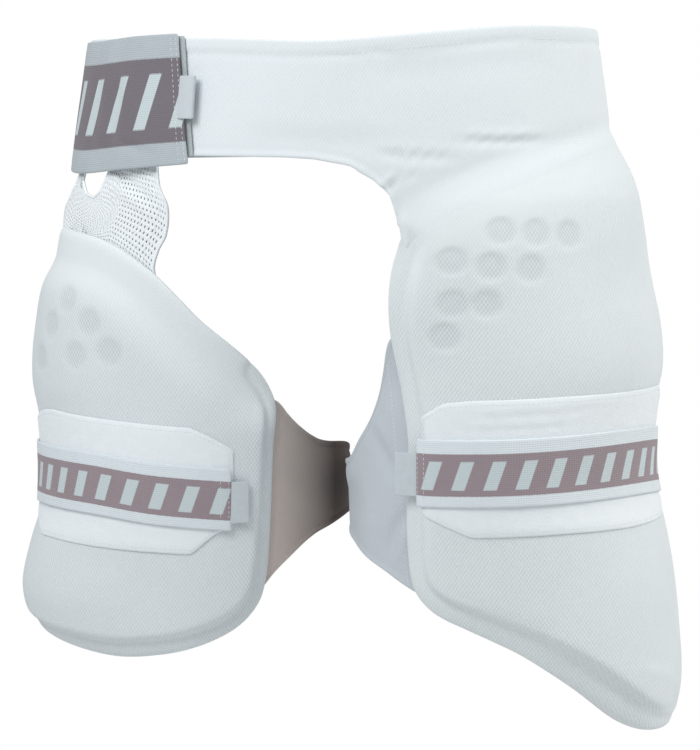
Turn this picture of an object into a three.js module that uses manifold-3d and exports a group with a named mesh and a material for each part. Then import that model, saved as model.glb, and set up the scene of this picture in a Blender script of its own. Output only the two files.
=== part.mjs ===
// A cricket thigh guard, in the shape that it has when it is worn. A knitted waist yoke and a wide
// elastic belt go round the waist. A large pad hangs on the outside of the left thigh, and a smaller
// one covers the front and the inside of the right. Each pad is held by an elastic strap.
// Millimetres, +Z up. The wearer faces -Y, and the wearer's left is +X. The origin is the middle of
// the waist opening, half way up the waistband.

import * as THREE from 'three';
import { mergeVertices } from 'three/addons/utils/BufferGeometryUtils.js';
import Module from 'manifold-3d';

const wasm = await Module();
wasm.setup();

// The space inside the guard, which the waist and hips fill
const waistWidth = 336;
const waistDepth = 242;
const hipSlope = 0.155;
const hipReach = 60;
const hipTop = -42;
const hipBottom = -185;

// The two thighs below it
const thighGap = 10.2;
const thighMidline = 3.9;
const thighTaper = 0.0003;
const leftThighWidth = 179;
const leftThighDepth = 184;
const leftThighBack = -5;
const rightThighWidth = 186;
const rightThighDepth = 188;
const rightThighBack = -2;

// Walls of cloth, and the room between two layers
const yokeWall = 2;
const wingWall = 1.7;
const meshWall = 1.3;
const elasticWall = 2.2;
const hookWall = 1.2;
const patchWall = 1.8;
const strapWall = 2.2;
const tabWall = 1.2;
const layerGap = 0.3;
const facetRoom = 0.6;

// The waistband, which is the upper part of the yoke, and the elastic belt behind it
const bandHeight = 72;
const yokeFrontEnd = -80;
const yokeBackEnd = 146;
const yokeCornerStart = 3;
const yokeTuck = 10;
const elasticHeight = 80;
const elasticSeam = 8;
const elasticFreeEnd = 342.3;
const elasticSlant = 5;
const elasticLift = 9;
const elasticLiftRoom = 2;
const hookLength = 12;
const hookShow = 0.7;
const hookInset = 1.5;
const pullTabHeight = 26;
const pullTabTurn = 4.2;
const pullTabBulge = 1.6;
const pullTabOverhang = 0.9;
const pullTabRise = 0.54;

// The mesh panel that hangs the inner pad from the waistband
const meshTop = -28;
const meshTuck = 9;
const meshTuckRun = 22;
const meshFootRun = 30;
const meshFootLift = 0.9;

// Pads: sizes, and where the middle of each lies round its thigh, in degrees from the front
const padSeat = 2.9;
const padEdge = 3.5;
const padTopBevel = 58;
const padTopBevelStart = 0.08;
const padTopBevelEnd = 0.35;
const padEdgeCrowding = 0.6;
const outerPadWidth = 228;
const outerPadHeight = 373;
const outerPadTop = -23;
const outerPadMiddle = 50.4;
const outerPadThickness = 14;
const outerPadSwell = 22;
const outerPadBevel = 13;
const innerPadWidth = 235;
const innerPadHeight = 266;
const innerPadTop = -84;
const innerPadMiddle = 19;
const innerPadThickness = 13.5;
const innerPadSwell = 16.5;
const innerPadBevel = 14;
const ventDiameter = 17;
const ventDepth = 1.6;
const ventSides = 12;

// Straps, the loop patches under them and the tabs on their ends
const outerStrapHeight = 41;
const innerStrapHeight = 39;
const outerStrapDrop = 199.5;
const innerStrapDrop = 156;
const outerPatchHeight = 84;
const innerPatchHeight = 83;
const strapTabHeight = 26;
const strapTabRise = 0.44;
const outerTabLength = 15;
const innerTabLength = 12;

// How finely curved pieces are cut into flat faces
const waistStep = 5.5;
const thighStep = 6;
const rimPoints = 90;
const padColumns = 18;
const padRows = 22;
const patchRows = 7;
const strapRows = 4;
const wingColumns = 20;
const wingRows = 6;
const yokeRows = 7;
const elasticRowCount = 4;
const meshRows = 9;

const weldDistance = 0.0001;

const radian = Math.PI / 180;

function mix(from, to, share) {
  return from + (to - from) * share;
}

function smooth(share) {
  const inside = Math.min(1, Math.max(0, share));
  return inside * inside * (3 - 2 * inside);
}

function table(columns, rows) {
  return rows.map((row) => Object.fromEntries(columns.map((column, index) => [column, row[index]])));
}

// The value of a table's column at a place, on a smooth curve through its rows
function follow(rows, placeColumn, valueColumn, place) {
  const last = rows.length - 1;
  const start = rows.findLastIndex((row) => row[placeColumn] <= place);
  if (start < 0) return rows[0][valueColumn];
  if (start >= last) return rows[last][valueColumn];
  const slope = (index) => {
    const before = rows[Math.max(0, index - 1)];
    const after = rows[Math.min(last, index + 1)];
    return (after[valueColumn] - before[valueColumn]) / (after[placeColumn] - before[placeColumn]);
  };
  const run = rows[start + 1][placeColumn] - rows[start][placeColumn];
  const share = (place - rows[start][placeColumn]) / run;
  const eased = smooth(share);
  const leave = slope(start) * run * share * (1 - share) ** 2;
  const arrive = slope(start + 1) * run * share ** 2 * (share - 1);
  return mix(rows[start][valueColumn], rows[start + 1][valueColumn], eased) + leave + arrive;
}

// Half width and half depth of the waist at a height
function waistSection(height) {
  const spread = hipSlope * Math.min(hipReach, Math.max(-hipReach, -height));
  return { halfWidth: waistWidth / 2 + spread, halfDepth: waistDepth / 2 + spread / 2 };
}

// A point on the waist, at a turn in degrees from the front towards the wearer's left
function waistPoint(turn, height, offset) {
  const section = waistSection(height);
  const x = (section.halfWidth + offset) * Math.sin(turn * radian);
  const y = -(section.halfDepth + offset) * Math.cos(turn * radian);
  return new THREE.Vector3(x, y, height);
}

function makeThigh(side, width, depth, back) {
  const centreX = thighMidline + side * (thighGap / 2 + width / 2);
  return { side, centreX, centreY: back, halfWidth: width / 2, halfDepth: depth / 2 };
}

const leftThigh = makeThigh(1, leftThighWidth, leftThighDepth, leftThighBack);
const rightThigh = makeThigh(-1, rightThighWidth, rightThighDepth, rightThighBack);

// How far the waist lies from a thigh's axis, at an angle from the front towards the thigh's outside
function waistRadius(thigh, angle, height) {
  const section = waistSection(height);
  const across = (thigh.side * Math.sin(angle * radian)) / section.halfWidth;
  const along = -Math.cos(angle * radian) / section.halfDepth;
  const startAcross = thigh.centreX / section.halfWidth;
  const startAlong = thigh.centreY / section.halfDepth;
  const a = across ** 2 + along ** 2;
  const b = across * startAcross + along * startAlong;
  const c = startAcross ** 2 + startAlong ** 2 - 1;
  return (-b + Math.sqrt(b * b - a * c)) / a;
}

// Radius of the body about a thigh's axis: the waist above, the thigh below, and a blend between
function bodyRadius(thigh, angle, height) {
  const across = Math.sin(angle * radian) / thigh.halfWidth;
  const along = Math.cos(angle * radian) / thigh.halfDepth;
  const taper = 1 - thighTaper * Math.max(0, hipBottom - height);
  const thighRadius = taper / Math.hypot(across, along);
  const share = smooth((hipTop - height) / (hipTop - hipBottom));
  return mix(waistRadius(thigh, angle, height), thighRadius, share);
}

// A point about a thigh's axis, in the thigh's own frame
function thighPoint(thigh, angle, height, offset) {
  const radius = bodyRadius(thigh, angle, height) + offset;
  const x = thigh.side * radius * Math.sin(angle * radian);
  return new THREE.Vector3(x, -radius * Math.cos(angle * radian), height);
}

// The turn round the waist that lies over an angle about the left thigh
function turnOverThigh(angle) {
  const section = waistSection(hipTop);
  const point = thighPoint(leftThigh, angle, hipTop, 0);
  const x = (point.x + leftThigh.centreX) / section.halfWidth;
  const y = (point.y + leftThigh.centreY) / section.halfDepth;
  return Math.atan2(x, -y) / radian;
}

// A point on the yoke: on the waist above, and on the left hip below it
function yokePoint(turn, height, offset) {
  if (height >= hipTop) return waistPoint(turn, height, offset);
  const waist = waistPoint(turn, hipTop, 0);
  const fromAxis = [waist.x - leftThigh.centreX, leftThigh.centreY - waist.y];
  const angle = Math.atan2(...fromAxis) / radian;
  const hip = thighPoint(leftThigh, angle, height, offset);
  return hip.add(new THREE.Vector3(leftThigh.centreX, leftThigh.centreY, 0));
}

// A closed body with its faces pointing out, from shared points and triangles
function closedBody(points, faces) {
  const volume = faces.reduce((sum, [a, b, c]) => {
    return sum + points[a].dot(points[b].clone().cross(points[c]));
  }, 0);
  const outward = volume > 0 ? faces : faces.map(([a, b, c]) => [a, c, b]);
  const geometry = new THREE.BufferGeometry().setFromPoints(points);
  geometry.setIndex(outward.flat());
  geometry.computeVertexNormals();
  return geometry;
}

// A wall of cloth. place(across, down, face) gives a point, with across and down from 0 to 1 and
// face 0 on the inside of the wall and 1 on its outside
function clothWall(columns, rows, place) {
  const points = [];
  const index = (column, row, face) => (column * (rows + 1) + row) * 2 + face;
  for (let column = 0; column <= columns; column += 1) {
    for (let row = 0; row <= rows; row += 1) {
      points.push(place(column / columns, row / rows, 0), place(column / columns, row / rows, 1));
    }
  }
  const faces = [];
  const quad = (a, b, c, d) => faces.push([a, b, c], [a, c, d]);
  for (let column = 0; column < columns; column += 1) {
    for (let row = 0; row < rows; row += 1) {
      const corners = [[0, 0], [1, 0], [1, 1], [0, 1]];
      quad(...corners.map(([right, down]) => index(column + right, row + down, 1)));
      quad(...corners.map(([down, right]) => index(column + right, row + down, 0)));
    }
    quad(index(column, 0, 0), index(column + 1, 0, 0), index(column + 1, 0, 1), index(column, 0, 1));
    const foot = [[column, 1], [column + 1, 1], [column + 1, 0], [column, 0]];
    quad(...foot.map(([place, face]) => index(place, rows, face)));
  }
  for (let row = 0; row < rows; row += 1) {
    quad(index(0, row, 0), index(0, row, 1), index(0, row + 1, 1), index(0, row + 1, 0));
    const end = [[row, 1], [row, 0], [row + 1, 0], [row + 1, 1]];
    quad(...end.map(([place, face]) => index(columns, place, face)));
  }
  return closedBody(points, faces);
}

function solidOf(geometry) {
  const bare = geometry.index ? geometry.toNonIndexed() : geometry.clone();
  bare.deleteAttribute('normal');
  bare.deleteAttribute('uv');
  const merged = mergeVertices(bare, weldDistance);
  const vertProperties = merged.attributes.position.array;
  const triVerts = Uint32Array.from(merged.index.array);
  return new wasm.Manifold(new wasm.Mesh({ numProp: 3, vertProperties, triVerts }));
}

function geometryOf(solid) {
  const mesh = solid.getMesh();
  const geometry = new THREE.BufferGeometry();
  geometry.setAttribute('position', new THREE.BufferAttribute(mesh.vertProperties, 3));
  geometry.setIndex(new THREE.BufferAttribute(mesh.triVerts, 1));
  geometry.computeVertexNormals();
  return geometry;
}

// Finishes
const finishes = {
  knit: new THREE.MeshStandardMaterial({ color: 0xe4ebef, roughness: 0.88, metalness: 0 }),
  padCover: new THREE.MeshStandardMaterial({ color: 0xdce4e8, roughness: 0.86, metalness: 0 }),
  wing: new THREE.MeshStandardMaterial({ color: 0xc9cdd0, roughness: 0.9, metalness: 0 }),
  mesh: new THREE.MeshStandardMaterial({ color: 0xe2e8ec, roughness: 0.9, metalness: 0 }),
  elastic: new THREE.MeshStandardMaterial({ color: 0x8d8b92, roughness: 0.8, metalness: 0 }),
  strap: new THREE.MeshStandardMaterial({ color: 0xa39ba0, roughness: 0.8, metalness: 0 }),
  loop: new THREE.MeshStandardMaterial({ color: 0xe0e8ed, roughness: 0.95, metalness: 0 }),
  hook: new THREE.MeshStandardMaterial({ color: 0xd6dee2, roughness: 0.7, metalness: 0 }),
  label: new THREE.MeshStandardMaterial({ color: 0xc6cdd2, roughness: 0.6, metalness: 0 }),
};

function piece(name, geometry, finish) {
  const mesh = new THREE.Mesh(geometry, finish.clone());
  mesh.name = name;
  return mesh;
}

// Pads

// The outer pad's edge, clockwise from its inner top corner: shares of its width and height
const outerPadRim = table(['across', 'down'], [
  [-0.443, 0.173], [-0.428, 0.152], [-0.358, 0.12], [-0.279, 0.092], [-0.185, 0.067], [-0.032, 0.037],
  [0.084, 0.02], [0.215, 0.007], [0.346, 0], [0.433, 0.008], [0.484, 0.04], [0.499, 0.113],
  [0.5, 0.367], [0.5, 0.743], [0.488, 0.86], [0.456, 0.937], [0.405, 0.982], [0.33, 0.992],
  [0.23, 0.966], [0.099, 0.93], [0.004, 0.893], [-0.145, 0.832], [-0.303, 0.788], [-0.377, 0.767],
  [-0.427, 0.735], [-0.446, 0.684], [-0.449, 0.582], [-0.443, 0.493], [-0.457, 0.424], [-0.474, 0.362],
  [-0.48, 0.314], [-0.468, 0.239],
]);
const outerPadCorners = [0, 10, 15, 24];

// How far the outer pad's outside stands off the thigh, as a share of its swell
const outerPadSwells = table(['down', 'out'], [
  [0.15, 0], [0.206, 0.01], [0.255, 0.08], [0.303, 0.18], [0.351, 0.22], [0.39, 0.18], [0.43, 0.03],
  [0.47, -0.05], [0.5, -0.09], [0.56, -0.06], [0.6, 0.1], [0.64, 0.34], [0.74, 0.7], [0.83, 0.9],
  [0.914, 1], [1, 0.8],
]);

const innerPadRim = table(['across', 'down'], [
  [-0.183, 0.092], [-0.081, 0.036], [0, 0.014], [0.116, 0.004], [0.331, 0], [0.413, 0.022],
  [0.464, 0.079], [0.5, 0.21], [0.5, 0.436], [0.5, 0.72], [0.488, 0.83], [0.44, 0.908],
  [0.35, 0.955], [0.2, 0.982], [0.05, 0.996], [-0.06, 1], [-0.15, 0.992], [-0.257, 0.973], [-0.39, 0.922],
  [-0.457, 0.86], [-0.479, 0.79], [-0.487, 0.7], [-0.497, 0.485], [-0.497, 0.395], [-0.44, 0.322],
  [-0.364, 0.256], [-0.293, 0.2],
]);
const innerPadCorners = [24, 5, 11, 19];

const innerPadSwells = table(['down', 'out'], [
  [0.12, 0], [0.21, 0.07], [0.29, 0.14], [0.37, 0.11], [0.45, -0.1], [0.52, -0.19], [0.6, -0.18],
  [0.66, -0.1], [0.7, 0.06], [0.76, 0.4], [0.86, 0.8], [0.93, 0.66], [1, 0.35],
]);

// Vents are round dents in the cover, placed by shares of the pad's width and height
const outerVents = table(['across', 'down'], [
  [-0.203, 0.146], [-0.11, 0.149], [-0.018, 0.152], [-0.315, 0.188], [-0.227, 0.197], [-0.128, 0.2],
  [-0.321, 0.26], [-0.236, 0.256], [-0.338, 0.31],
]);

const innerVents = table(['across', 'down'], [
  [0.082, 0.157], [0.148, 0.22], [-0.006, 0.206], [0.196, 0.305], [0.039, 0.286], [-0.067, 0.273],
]);

// corners are the rows of the rim at the pad's upper inner, upper outer, lower outer and lower inner
// corners. The pad is laid flat, with x across it from its middle and y down from its top
function makePad(thigh, sizes, rim, corners, swells, vents) {
  const arcRadius = (thigh.halfWidth + thigh.halfDepth) / 2 + padSeat;
  const flat = rim.map(({ across, down }) => {
    return new THREE.Vector3(across * sizes.width, down * sizes.height, 0);
  });
  const curve = new THREE.CatmullRomCurve3(flat, true, 'centripetal');
  const edge = curve.getSpacedPoints(rimPoints).slice(0, rimPoints);
  const cornerPlaces = corners.map((row) => {
    const distances = edge.map((point) => point.distanceTo(flat[row]));
    return distances.indexOf(Math.min(...distances));
  });
  return { thigh, arcRadius, edge, cornerPlaces, swells, vents, ...sizes };
}

const outerPad = makePad(leftThigh, {
  width: outerPadWidth,
  height: outerPadHeight,
  top: outerPadTop,
  middle: outerPadMiddle,
  thickness: outerPadThickness,
  bevel: outerPadBevel,
  swell: outerPadSwell,
  swellStart: 10,
  swellEnd: 88,
}, outerPadRim, outerPadCorners, outerPadSwells, outerVents);

const innerPad = makePad(rightThigh, {
  width: innerPadWidth,
  height: innerPadHeight,
  top: innerPadTop,
  middle: innerPadMiddle,
  thickness: innerPadThickness,
  bevel: innerPadBevel,
  swell: innerPadSwell,
  swellStart: -5,
  swellEnd: 58,
}, innerPadRim, innerPadCorners, innerPadSwells, innerVents);

function padAngle(pad, across) {
  return pad.middle + (across * pad.width) / pad.arcRadius / radian;
}

// How far inside the pad's edge a place is, on the pad laid flat
function insideEdge(pad, x, y) {
  const here = new THREE.Vector3(x, y, 0);
  const nearest = new THREE.Vector3();
  const distances = pad.edge.map((start, index) => {
    const side = new THREE.Line3(start, pad.edge[(index + 1) % pad.edge.length]);
    side.closestPointToPoint(here, true, nearest);
    return nearest.distanceTo(here);
  });
  return Math.min(...distances);
}

function padContains(pad, x, y) {
  let inside = false;
  pad.edge.forEach((start, index) => {
    const end = pad.edge[(index + 1) % pad.edge.length];
    const crosses = start.y > y !== end.y > y;
    if (crosses && x < mix(start.x, end.x, (y - start.y) / (end.y - start.y))) inside = !inside;
  });
  return inside;
}

// The pad's own thickness at a place: thin at its edge, and full past a rounded bevel
function padLift(pad, x, y) {
  const fromTop = (y / pad.height - padTopBevelStart) / (padTopBevelEnd - padTopBevelStart);
  const bevel = mix(padTopBevel, pad.bevel, smooth(fromTop));
  const share = Math.min(1, insideEdge(pad, x, y) / bevel);
  return padEdge + (pad.thickness - padEdge) * Math.sin(share * 90 * radian);
}

// How far the pad's back stands off the thigh
function padBack(pad, angle, height) {
  const down = (pad.top - height) / pad.height;
  const outside = smooth((angle - pad.swellStart) / (pad.swellEnd - pad.swellStart));
  return padSeat + pad.swell * outside * follow(pad.swells, 'down', 'out', down);
}

function padPoint(pad, x, y, front) {
  const angle = padAngle(pad, x / pad.width);
  const height = pad.top - y;
  const offset = padBack(pad, angle, height) + (front ? padLift(pad, x, y) : 0);
  return thighPoint(pad.thigh, angle, height, offset);
}

// How far the outside of the pad stands off the thigh, or nothing where there is no pad
function padFront(pad, angle, height) {
  const x = (angle - pad.middle) * radian * pad.arcRadius;
  const y = pad.top - height;
  if (!padContains(pad, x, y)) return 0;
  return padBack(pad, angle, height) + padLift(pad, x, y);
}

// Height of the pad's upper edge at an angle
function padTopEdge(pad, angle) {
  const x = (angle - pad.middle) * radian * pad.arcRadius;
  const heights = pad.edge.map((start, index) => {
    const end = pad.edge[(index + 1) % pad.edge.length];
    const crosses = start.x > x !== end.x > x;
    return crosses ? mix(start.y, end.y, (x - start.x) / (end.x - start.x)) : Infinity;
  });
  return pad.top - Math.min(...heights);
}

// A point on the pad's edge, at a share of the way from one corner to another
function edgePlace(pad, from, to, share) {
  const count = pad.edge.length;
  const start = pad.cornerPlaces[from];
  const run = (pad.cornerPlaces[to] - start + count) % count;
  const place = start + run * share;
  const whole = Math.floor(place);
  const point = pad.edge[whole % count].clone();
  return point.lerp(pad.edge[(whole + 1) % count], place - whole);
}

// A place on the flat pad, blended from its four edges
function padPlace(pad, across, down) {
  const top = edgePlace(pad, 0, 1, across);
  const side = edgePlace(pad, 1, 2, down);
  const bottom = edgePlace(pad, 2, 3, 1 - across);
  const inner = edgePlace(pad, 3, 0, 1 - down);
  const [upperInner, upperOuter, lowerOuter, lowerInner] = pad.cornerPlaces.map((place) => pad.edge[place]);
  const blend = top.lerp(bottom, down).add(inner.lerp(side, across));
  const upper = upperInner.clone().lerp(upperOuter, across);
  const lower = lowerInner.clone().lerp(lowerOuter, across);
  return blend.sub(upper.lerp(lower, down));
}

function ventCutter(pad, vent) {
  const angle = padAngle(pad, vent.across);
  const height = pad.top - vent.down * pad.height;
  const middle = thighPoint(pad.thigh, angle, height, padFront(pad, angle, height));
  const radius = ventDiameter / 2;
  const cutter = new THREE.CylinderGeometry(radius, radius, ventDepth * 2, ventSides);
  cutter.rotateZ(90 * radian);
  cutter.rotateZ(Math.atan2(middle.y, middle.x));
  cutter.translate(middle.x, middle.y, middle.z);
  return solidOf(cutter);
}

// Columns and rows stand closer together near the pad's edges, where its bevel is
function padBody(pad) {
  const closer = (share) => mix(share, smooth(share), padEdgeCrowding);
  const body = clothWall(padColumns, padRows, (across, down, face) => {
    const place = padPlace(pad, closer(across), closer(down));
    return padPoint(pad, place.x, place.y, face === 1);
  });
  const whole = solidOf(body);
  const dented = pad.vents.reduce((solid, vent) => solid.subtract(ventCutter(pad, vent)), whole);
  return geometryOf(dented);
}

// Straps and patches

// The middle of each strap: its drop as it goes round, in shares of its height
const outerStrapLine = table(['angle', 'drop'], [
  [-6, 0], [20, -0.02], [66, -0.06], [94, 0], [150, 0.3], [250, 0.62],
]);

const innerStrapLine = table(['angle', 'drop'], [
  [-31, 0.18], [-7, 0.09], [18, -0.02], [58, 0], [100, 0.12], [150, 0.34], [232, 0.34],
]);

const outerStrap = {
  pad: outerPad,
  height: outerStrapHeight,
  drop: outerStrapDrop,
  line: outerStrapLine,
  start: -5.7,
  end: 252,
};

const innerStrap = {
  pad: innerPad,
  height: innerStrapHeight,
  drop: innerStrapDrop,
  line: innerStrapLine,
  start: -31,
  end: 234,
};

// Each loop patch is a long octagon: its edges above and below the strap's level, in shares of its
// height
const outerPatchRows = table(['angle', 'top', 'bottom'], [
  [-4.8, 0.39, -0.29], [4, 0.51, -0.38], [13, 0.53, -0.46], [45, 0.55, -0.44], [72, 0.55, -0.44],
  [96, 0.55, -0.43], [108, 0.42, -0.33],
]);

const innerPatchRows = table(['angle', 'top', 'bottom'], [
  [-32, 0.29, -0.27], [-24.5, 0.39, -0.37], [-18, 0.46, -0.5], [10, 0.5, -0.48], [38, 0.53, -0.46],
  [47, 0.51, -0.46], [64, 0.41, -0.31], [74, 0.32, -0.2],
]);

const outerPatch = { pad: outerPad, height: outerPatchHeight, level: outerStrapDrop, rows: outerPatchRows };
const innerPatch = { pad: innerPad, height: innerPatchHeight, level: innerStrapDrop, rows: innerPatchRows };

// Straight from row to row, because the patch has corners
function patchEdge(patch, edge, angle) {
  const last = patch.rows.length - 2;
  const start = Math.min(last, Math.max(0, patch.rows.findLastIndex((row) => row.angle <= angle)));
  const [from, to] = [patch.rows[start], patch.rows[start + 1]];
  const share = mix(from[edge], to[edge], (angle - from.angle) / (to.angle - from.angle));
  return patch.pad.top - patch.level + share * patch.height;
}

function patchSeat(patch, angle, height) {
  return padFront(patch.pad, angle, height) + layerGap + facetRoom;
}

// Columns stand at the table's rows, with more between them
function patchAngles(patch) {
  return patch.rows.flatMap((row, index) => {
    const next = patch.rows[index + 1];
    if (!next) return [row.angle];
    const parts = Math.ceil((next.angle - row.angle) / thighStep);
    return Array.from({ length: parts }, (_, part) => mix(row.angle, next.angle, part / parts));
  });
}

function patchBody(patch) {
  const angles = patchAngles(patch);
  return clothWall(angles.length - 1, patchRows, (across, down, face) => {
    const angle = angles[Math.round(across * (angles.length - 1))];
    const height = mix(patchEdge(patch, 'top', angle), patchEdge(patch, 'bottom', angle), down);
    return thighPoint(patch.pad.thigh, angle, height, patchSeat(patch, angle, height) + face * patchWall);
  });
}

function strapLevel(strap, angle) {
  const middle = strap.pad.top - strap.drop;
  return middle - follow(strap.line, 'angle', 'drop', angle) * strap.height;
}

// What a strap lies on at a place: the patch, the pad's own front or the wing on the thigh
function strapSupport(strap, patch, angle, height) {
  const first = patch.rows[0].angle - thighStep;
  const last = patch.rows.at(-1).angle + thighStep;
  const onPatch = angle >= first && angle <= last;
  const patchFront = onPatch ? patchSeat(patch, angle, height) + patchWall : 0;
  return Math.max(patchFront, padFront(strap.pad, angle, height), wingWall) + layerGap + facetRoom;
}

// The outline of a taut loop: the smallest convex one round what it lies on
function tautLoop(points) {
  const order = [...points].sort((first, second) => first.x - second.x || first.y - second.y);
  const turnLeft = (a, b, c) => (b.x - a.x) * (c.y - a.y) - (b.y - a.y) * (c.x - a.x);
  const half = (list) => list.reduce((chain, point) => {
    while (chain.length > 1 && turnLeft(chain.at(-2), chain.at(-1), point) <= 0) chain.pop();
    chain.push(point);
    return chain;
  }, []);
  return [...half(order).slice(0, -1), ...half(order.reverse()).slice(0, -1)];
}

// Radius of a loop of points in the direction of an angle
function loopRadius(loop, thigh, angle) {
  const x = thigh.side * Math.sin(angle * radian);
  const y = -Math.cos(angle * radian);
  const radii = loop.map((start, index) => {
    const end = loop[(index + 1) % loop.length];
    const along = (start.x * y - start.y * x) / ((start.x - end.x) * y - (start.y - end.y) * x);
    if (!(along >= 0 && along <= 1)) return 0;
    return mix(start.x, end.x, along) * x + mix(start.y, end.y, along) * y;
  });
  return Math.max(...radii);
}

// One taut loop for each row of the strap, from its top to its bottom
function strapLoops(strap, patch, rows) {
  return Array.from({ length: rows + 1 }, (_, row) => {
    const points = [];
    for (let angle = 0; angle < 360; angle += thighStep / 2) {
      const turn = angle > strap.end ? angle - 360 : angle;
      const height = strapLevel(strap, turn) + (0.5 - row / rows) * strap.height;
      const nearby = [-0.5, 0, 0.5].map((part) => height + (part / rows) * strap.height);
      const supports = nearby.map((near) => strapSupport(strap, patch, turn, near));
      points.push(thighPoint(strap.pad.thigh, turn, height, Math.max(...supports)));
    }
    return tautLoop(points);
  });
}

function strapBody(strap, loops) {
  const rows = loops.length - 1;
  const columns = Math.ceil((strap.end - strap.start) / thighStep);
  return clothWall(columns, rows, (across, down, face) => {
    const angle = mix(strap.start, strap.end, across);
    const radius = loopRadius(loops[Math.round(down * rows)], strap.pad.thigh, angle) + face * strapWall;
    const height = strapLevel(strap, angle) + (0.5 - down) * strap.height;
    const x = strap.pad.thigh.side * radius * Math.sin(angle * radian);
    return new THREE.Vector3(x, -radius * Math.cos(angle * radian), height);
  });
}

// A folded label that stands out of the strap's free end, in the middle of the strap's thickness
function strapTabBody(strap, loops, length) {
  const middleLoop = loops[(loops.length - 1) / 2];
  const thigh = strap.pad.thigh;
  const endRadius = loopRadius(middleLoop, thigh, strap.start);
  return clothWall(3, 2, (across, down, face) => {
    const run = layerGap + (1 - across) * length;
    const angle = strap.start - run / endRadius / radian;
    const radius = endRadius + (strapWall - tabWall) / 2 + face * tabWall;
    const height = strapLevel(strap, strap.start) + (strapTabRise - down) * strapTabHeight;
    const x = thigh.side * radius * Math.sin(angle * radian);
    return new THREE.Vector3(x, -radius * Math.cos(angle * radian), height);
  });
}

// Wings

// Each wing runs from under the pad's inner edge round the inside of the thigh to the strap.
// topAngle and bottomAngle say where its edges run; top and bottom go from 0, at the pad, to 1, at
// the strap's edges
const outerWingRows = table(['topAngle', 'bottomAngle', 'top', 'bottom'], [
  [-13, -3, -0.03, -0.05], [-19.5, -9.5, 0.07, 0.03], [-23.6, -17.3, 0.28, 0.2], [-27.3, -25, 0.46, 0.38],
  [-32.6, -33, 0.63, 0.52], [-41.1, -42, 0.78, 0.66], [-55, -55, 0.94, 0.8], [-80, -80, 1, 0.93],
  [-110, -110, 1, 1],
]);

const innerWingRows = table(['topAngle', 'bottomAngle', 'top', 'bottom'], [
  [-40, -33, -0.12, -0.12], [-50.5, -42, 0, 0.12], [-56, -50, 0.2, 0.5], [-61, -57, 0.34, 0.78],
  [-68, -66, 0.47, 1.05], [-77, -76, 0.58, 1.26], [-100, -100, 0.72, 1.5], [-128, -128, 1, 1],
]);

const outerWing = { strap: outerStrap, rows: outerWingRows, top: 117, bottom: 277 };
const innerWing = { strap: innerStrap, rows: innerWingRows, top: 104, bottom: 232 };

// A place on the wing's upper or lower edge. The strap reaches the wing's far end from the other side
function wingEdge(wing, place, edge) {
  const rows = wing.rows.map((row, index) => ({ ...row, place: index / (wing.rows.length - 1) }));
  const angle = follow(rows, 'place', `${edge}Angle`, place);
  const share = follow(rows, 'place', edge, place);
  const { pad, height } = wing.strap;
  const strapEdge = strapLevel(wing.strap, wing.strap.end) + (edge === 'top' ? 0.5 : -0.5) * height;
  return { angle, height: mix(pad.top - wing[edge], strapEdge, share) };
}

function wingBody(wing) {
  return clothWall(wingColumns, wingRows, (across, down, face) => {
    const top = wingEdge(wing, across, 'top');
    const bottom = wingEdge(wing, across, 'bottom');
    const angle = mix(top.angle, bottom.angle, down);
    return thighPoint(wing.strap.pad.thigh, angle, mix(top.height, bottom.height, down), face * wingWall);
  });
}

// Waist

// Upper edge of the waistband, in shares of its height
const bandTopRows = table(['turn', 'top'], [
  [-80, 0.5], [-17, 0.51], [7, 0.482], [15, 0.482], [39, 0.53], [54, 0.574], [71, 0.6], [93, 0.592],
  [120, 0.55], [146, 0.53],
]);
const bandBottom = -0.48 * bandHeight;

// The curve from the band's lower edge down to the pad's inner top corner
const yokeCurve = table(['turn', 'drop', 'topTurn'], [
  [0, 0, 0], [0.247, 0.017, 0.2], [0.535, 0.083, 0.4], [0.753, 0.235, 0.58], [0.885, 0.39, 0.74],
  [0.951, 0.687, 0.88], [1, 1, 1],
]);
const yokeCornerAcross = -0.43;
const yokeSideAcross = 0.47;

function yokeHem(across) {
  const angle = padAngle(outerPad, across);
  return { turn: turnOverThigh(angle), height: padTopEdge(outerPad, angle) - yokeTuck };
}

// Columns of the yoke: a turn on its upper edge, and a turn and a height on its lower one
function yokeColumns() {
  const corner = yokeHem(yokeCornerAcross);
  const side = yokeHem(yokeSideAcross);
  const columns = [];
  const frontSteps = Math.ceil((yokeCornerStart - yokeFrontEnd) / waistStep);
  for (let step = 0; step < frontSteps; step += 1) {
    const turn = mix(yokeFrontEnd, yokeCornerStart, step / frontSteps);
    columns.push({ topTurn: turn, turn, height: bandBottom });
  }
  yokeCurve.forEach((row) => {
    const turn = mix(yokeCornerStart, corner.turn, row.turn);
    const topTurn = mix(yokeCornerStart, corner.turn, row.topTurn);
    columns.push({ topTurn, turn, height: mix(bandBottom, corner.height, row.drop) });
  });
  const sideSteps = Math.ceil((side.turn - corner.turn) / waistStep);
  for (let step = 1; step <= sideSteps; step += 1) {
    const hem = yokeHem(mix(yokeCornerAcross, yokeSideAcross, step / sideSteps));
    columns.push({ topTurn: hem.turn, ...hem });
  }
  const backSteps = Math.ceil((yokeBackEnd - side.turn) / waistStep);
  for (let step = 1; step <= backSteps; step += 1) {
    const turn = mix(side.turn, yokeBackEnd, step / backSteps);
    columns.push({ topTurn: turn, turn, height: mix(side.height, bandBottom, smooth(step / backSteps)) });
  }
  return columns;
}

function yokeBody() {
  const columns = yokeColumns();
  return clothWall(columns.length - 1, yokeRows, (across, down, face) => {
    const column = columns[Math.round(across * (columns.length - 1))];
    const top = follow(bandTopRows, 'turn', 'top', column.topTurn) * bandHeight;
    const turn = mix(column.topTurn, column.turn, smooth(down));
    return yokePoint(turn, mix(top, column.height, down), face * yokeWall);
  });
}

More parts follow.
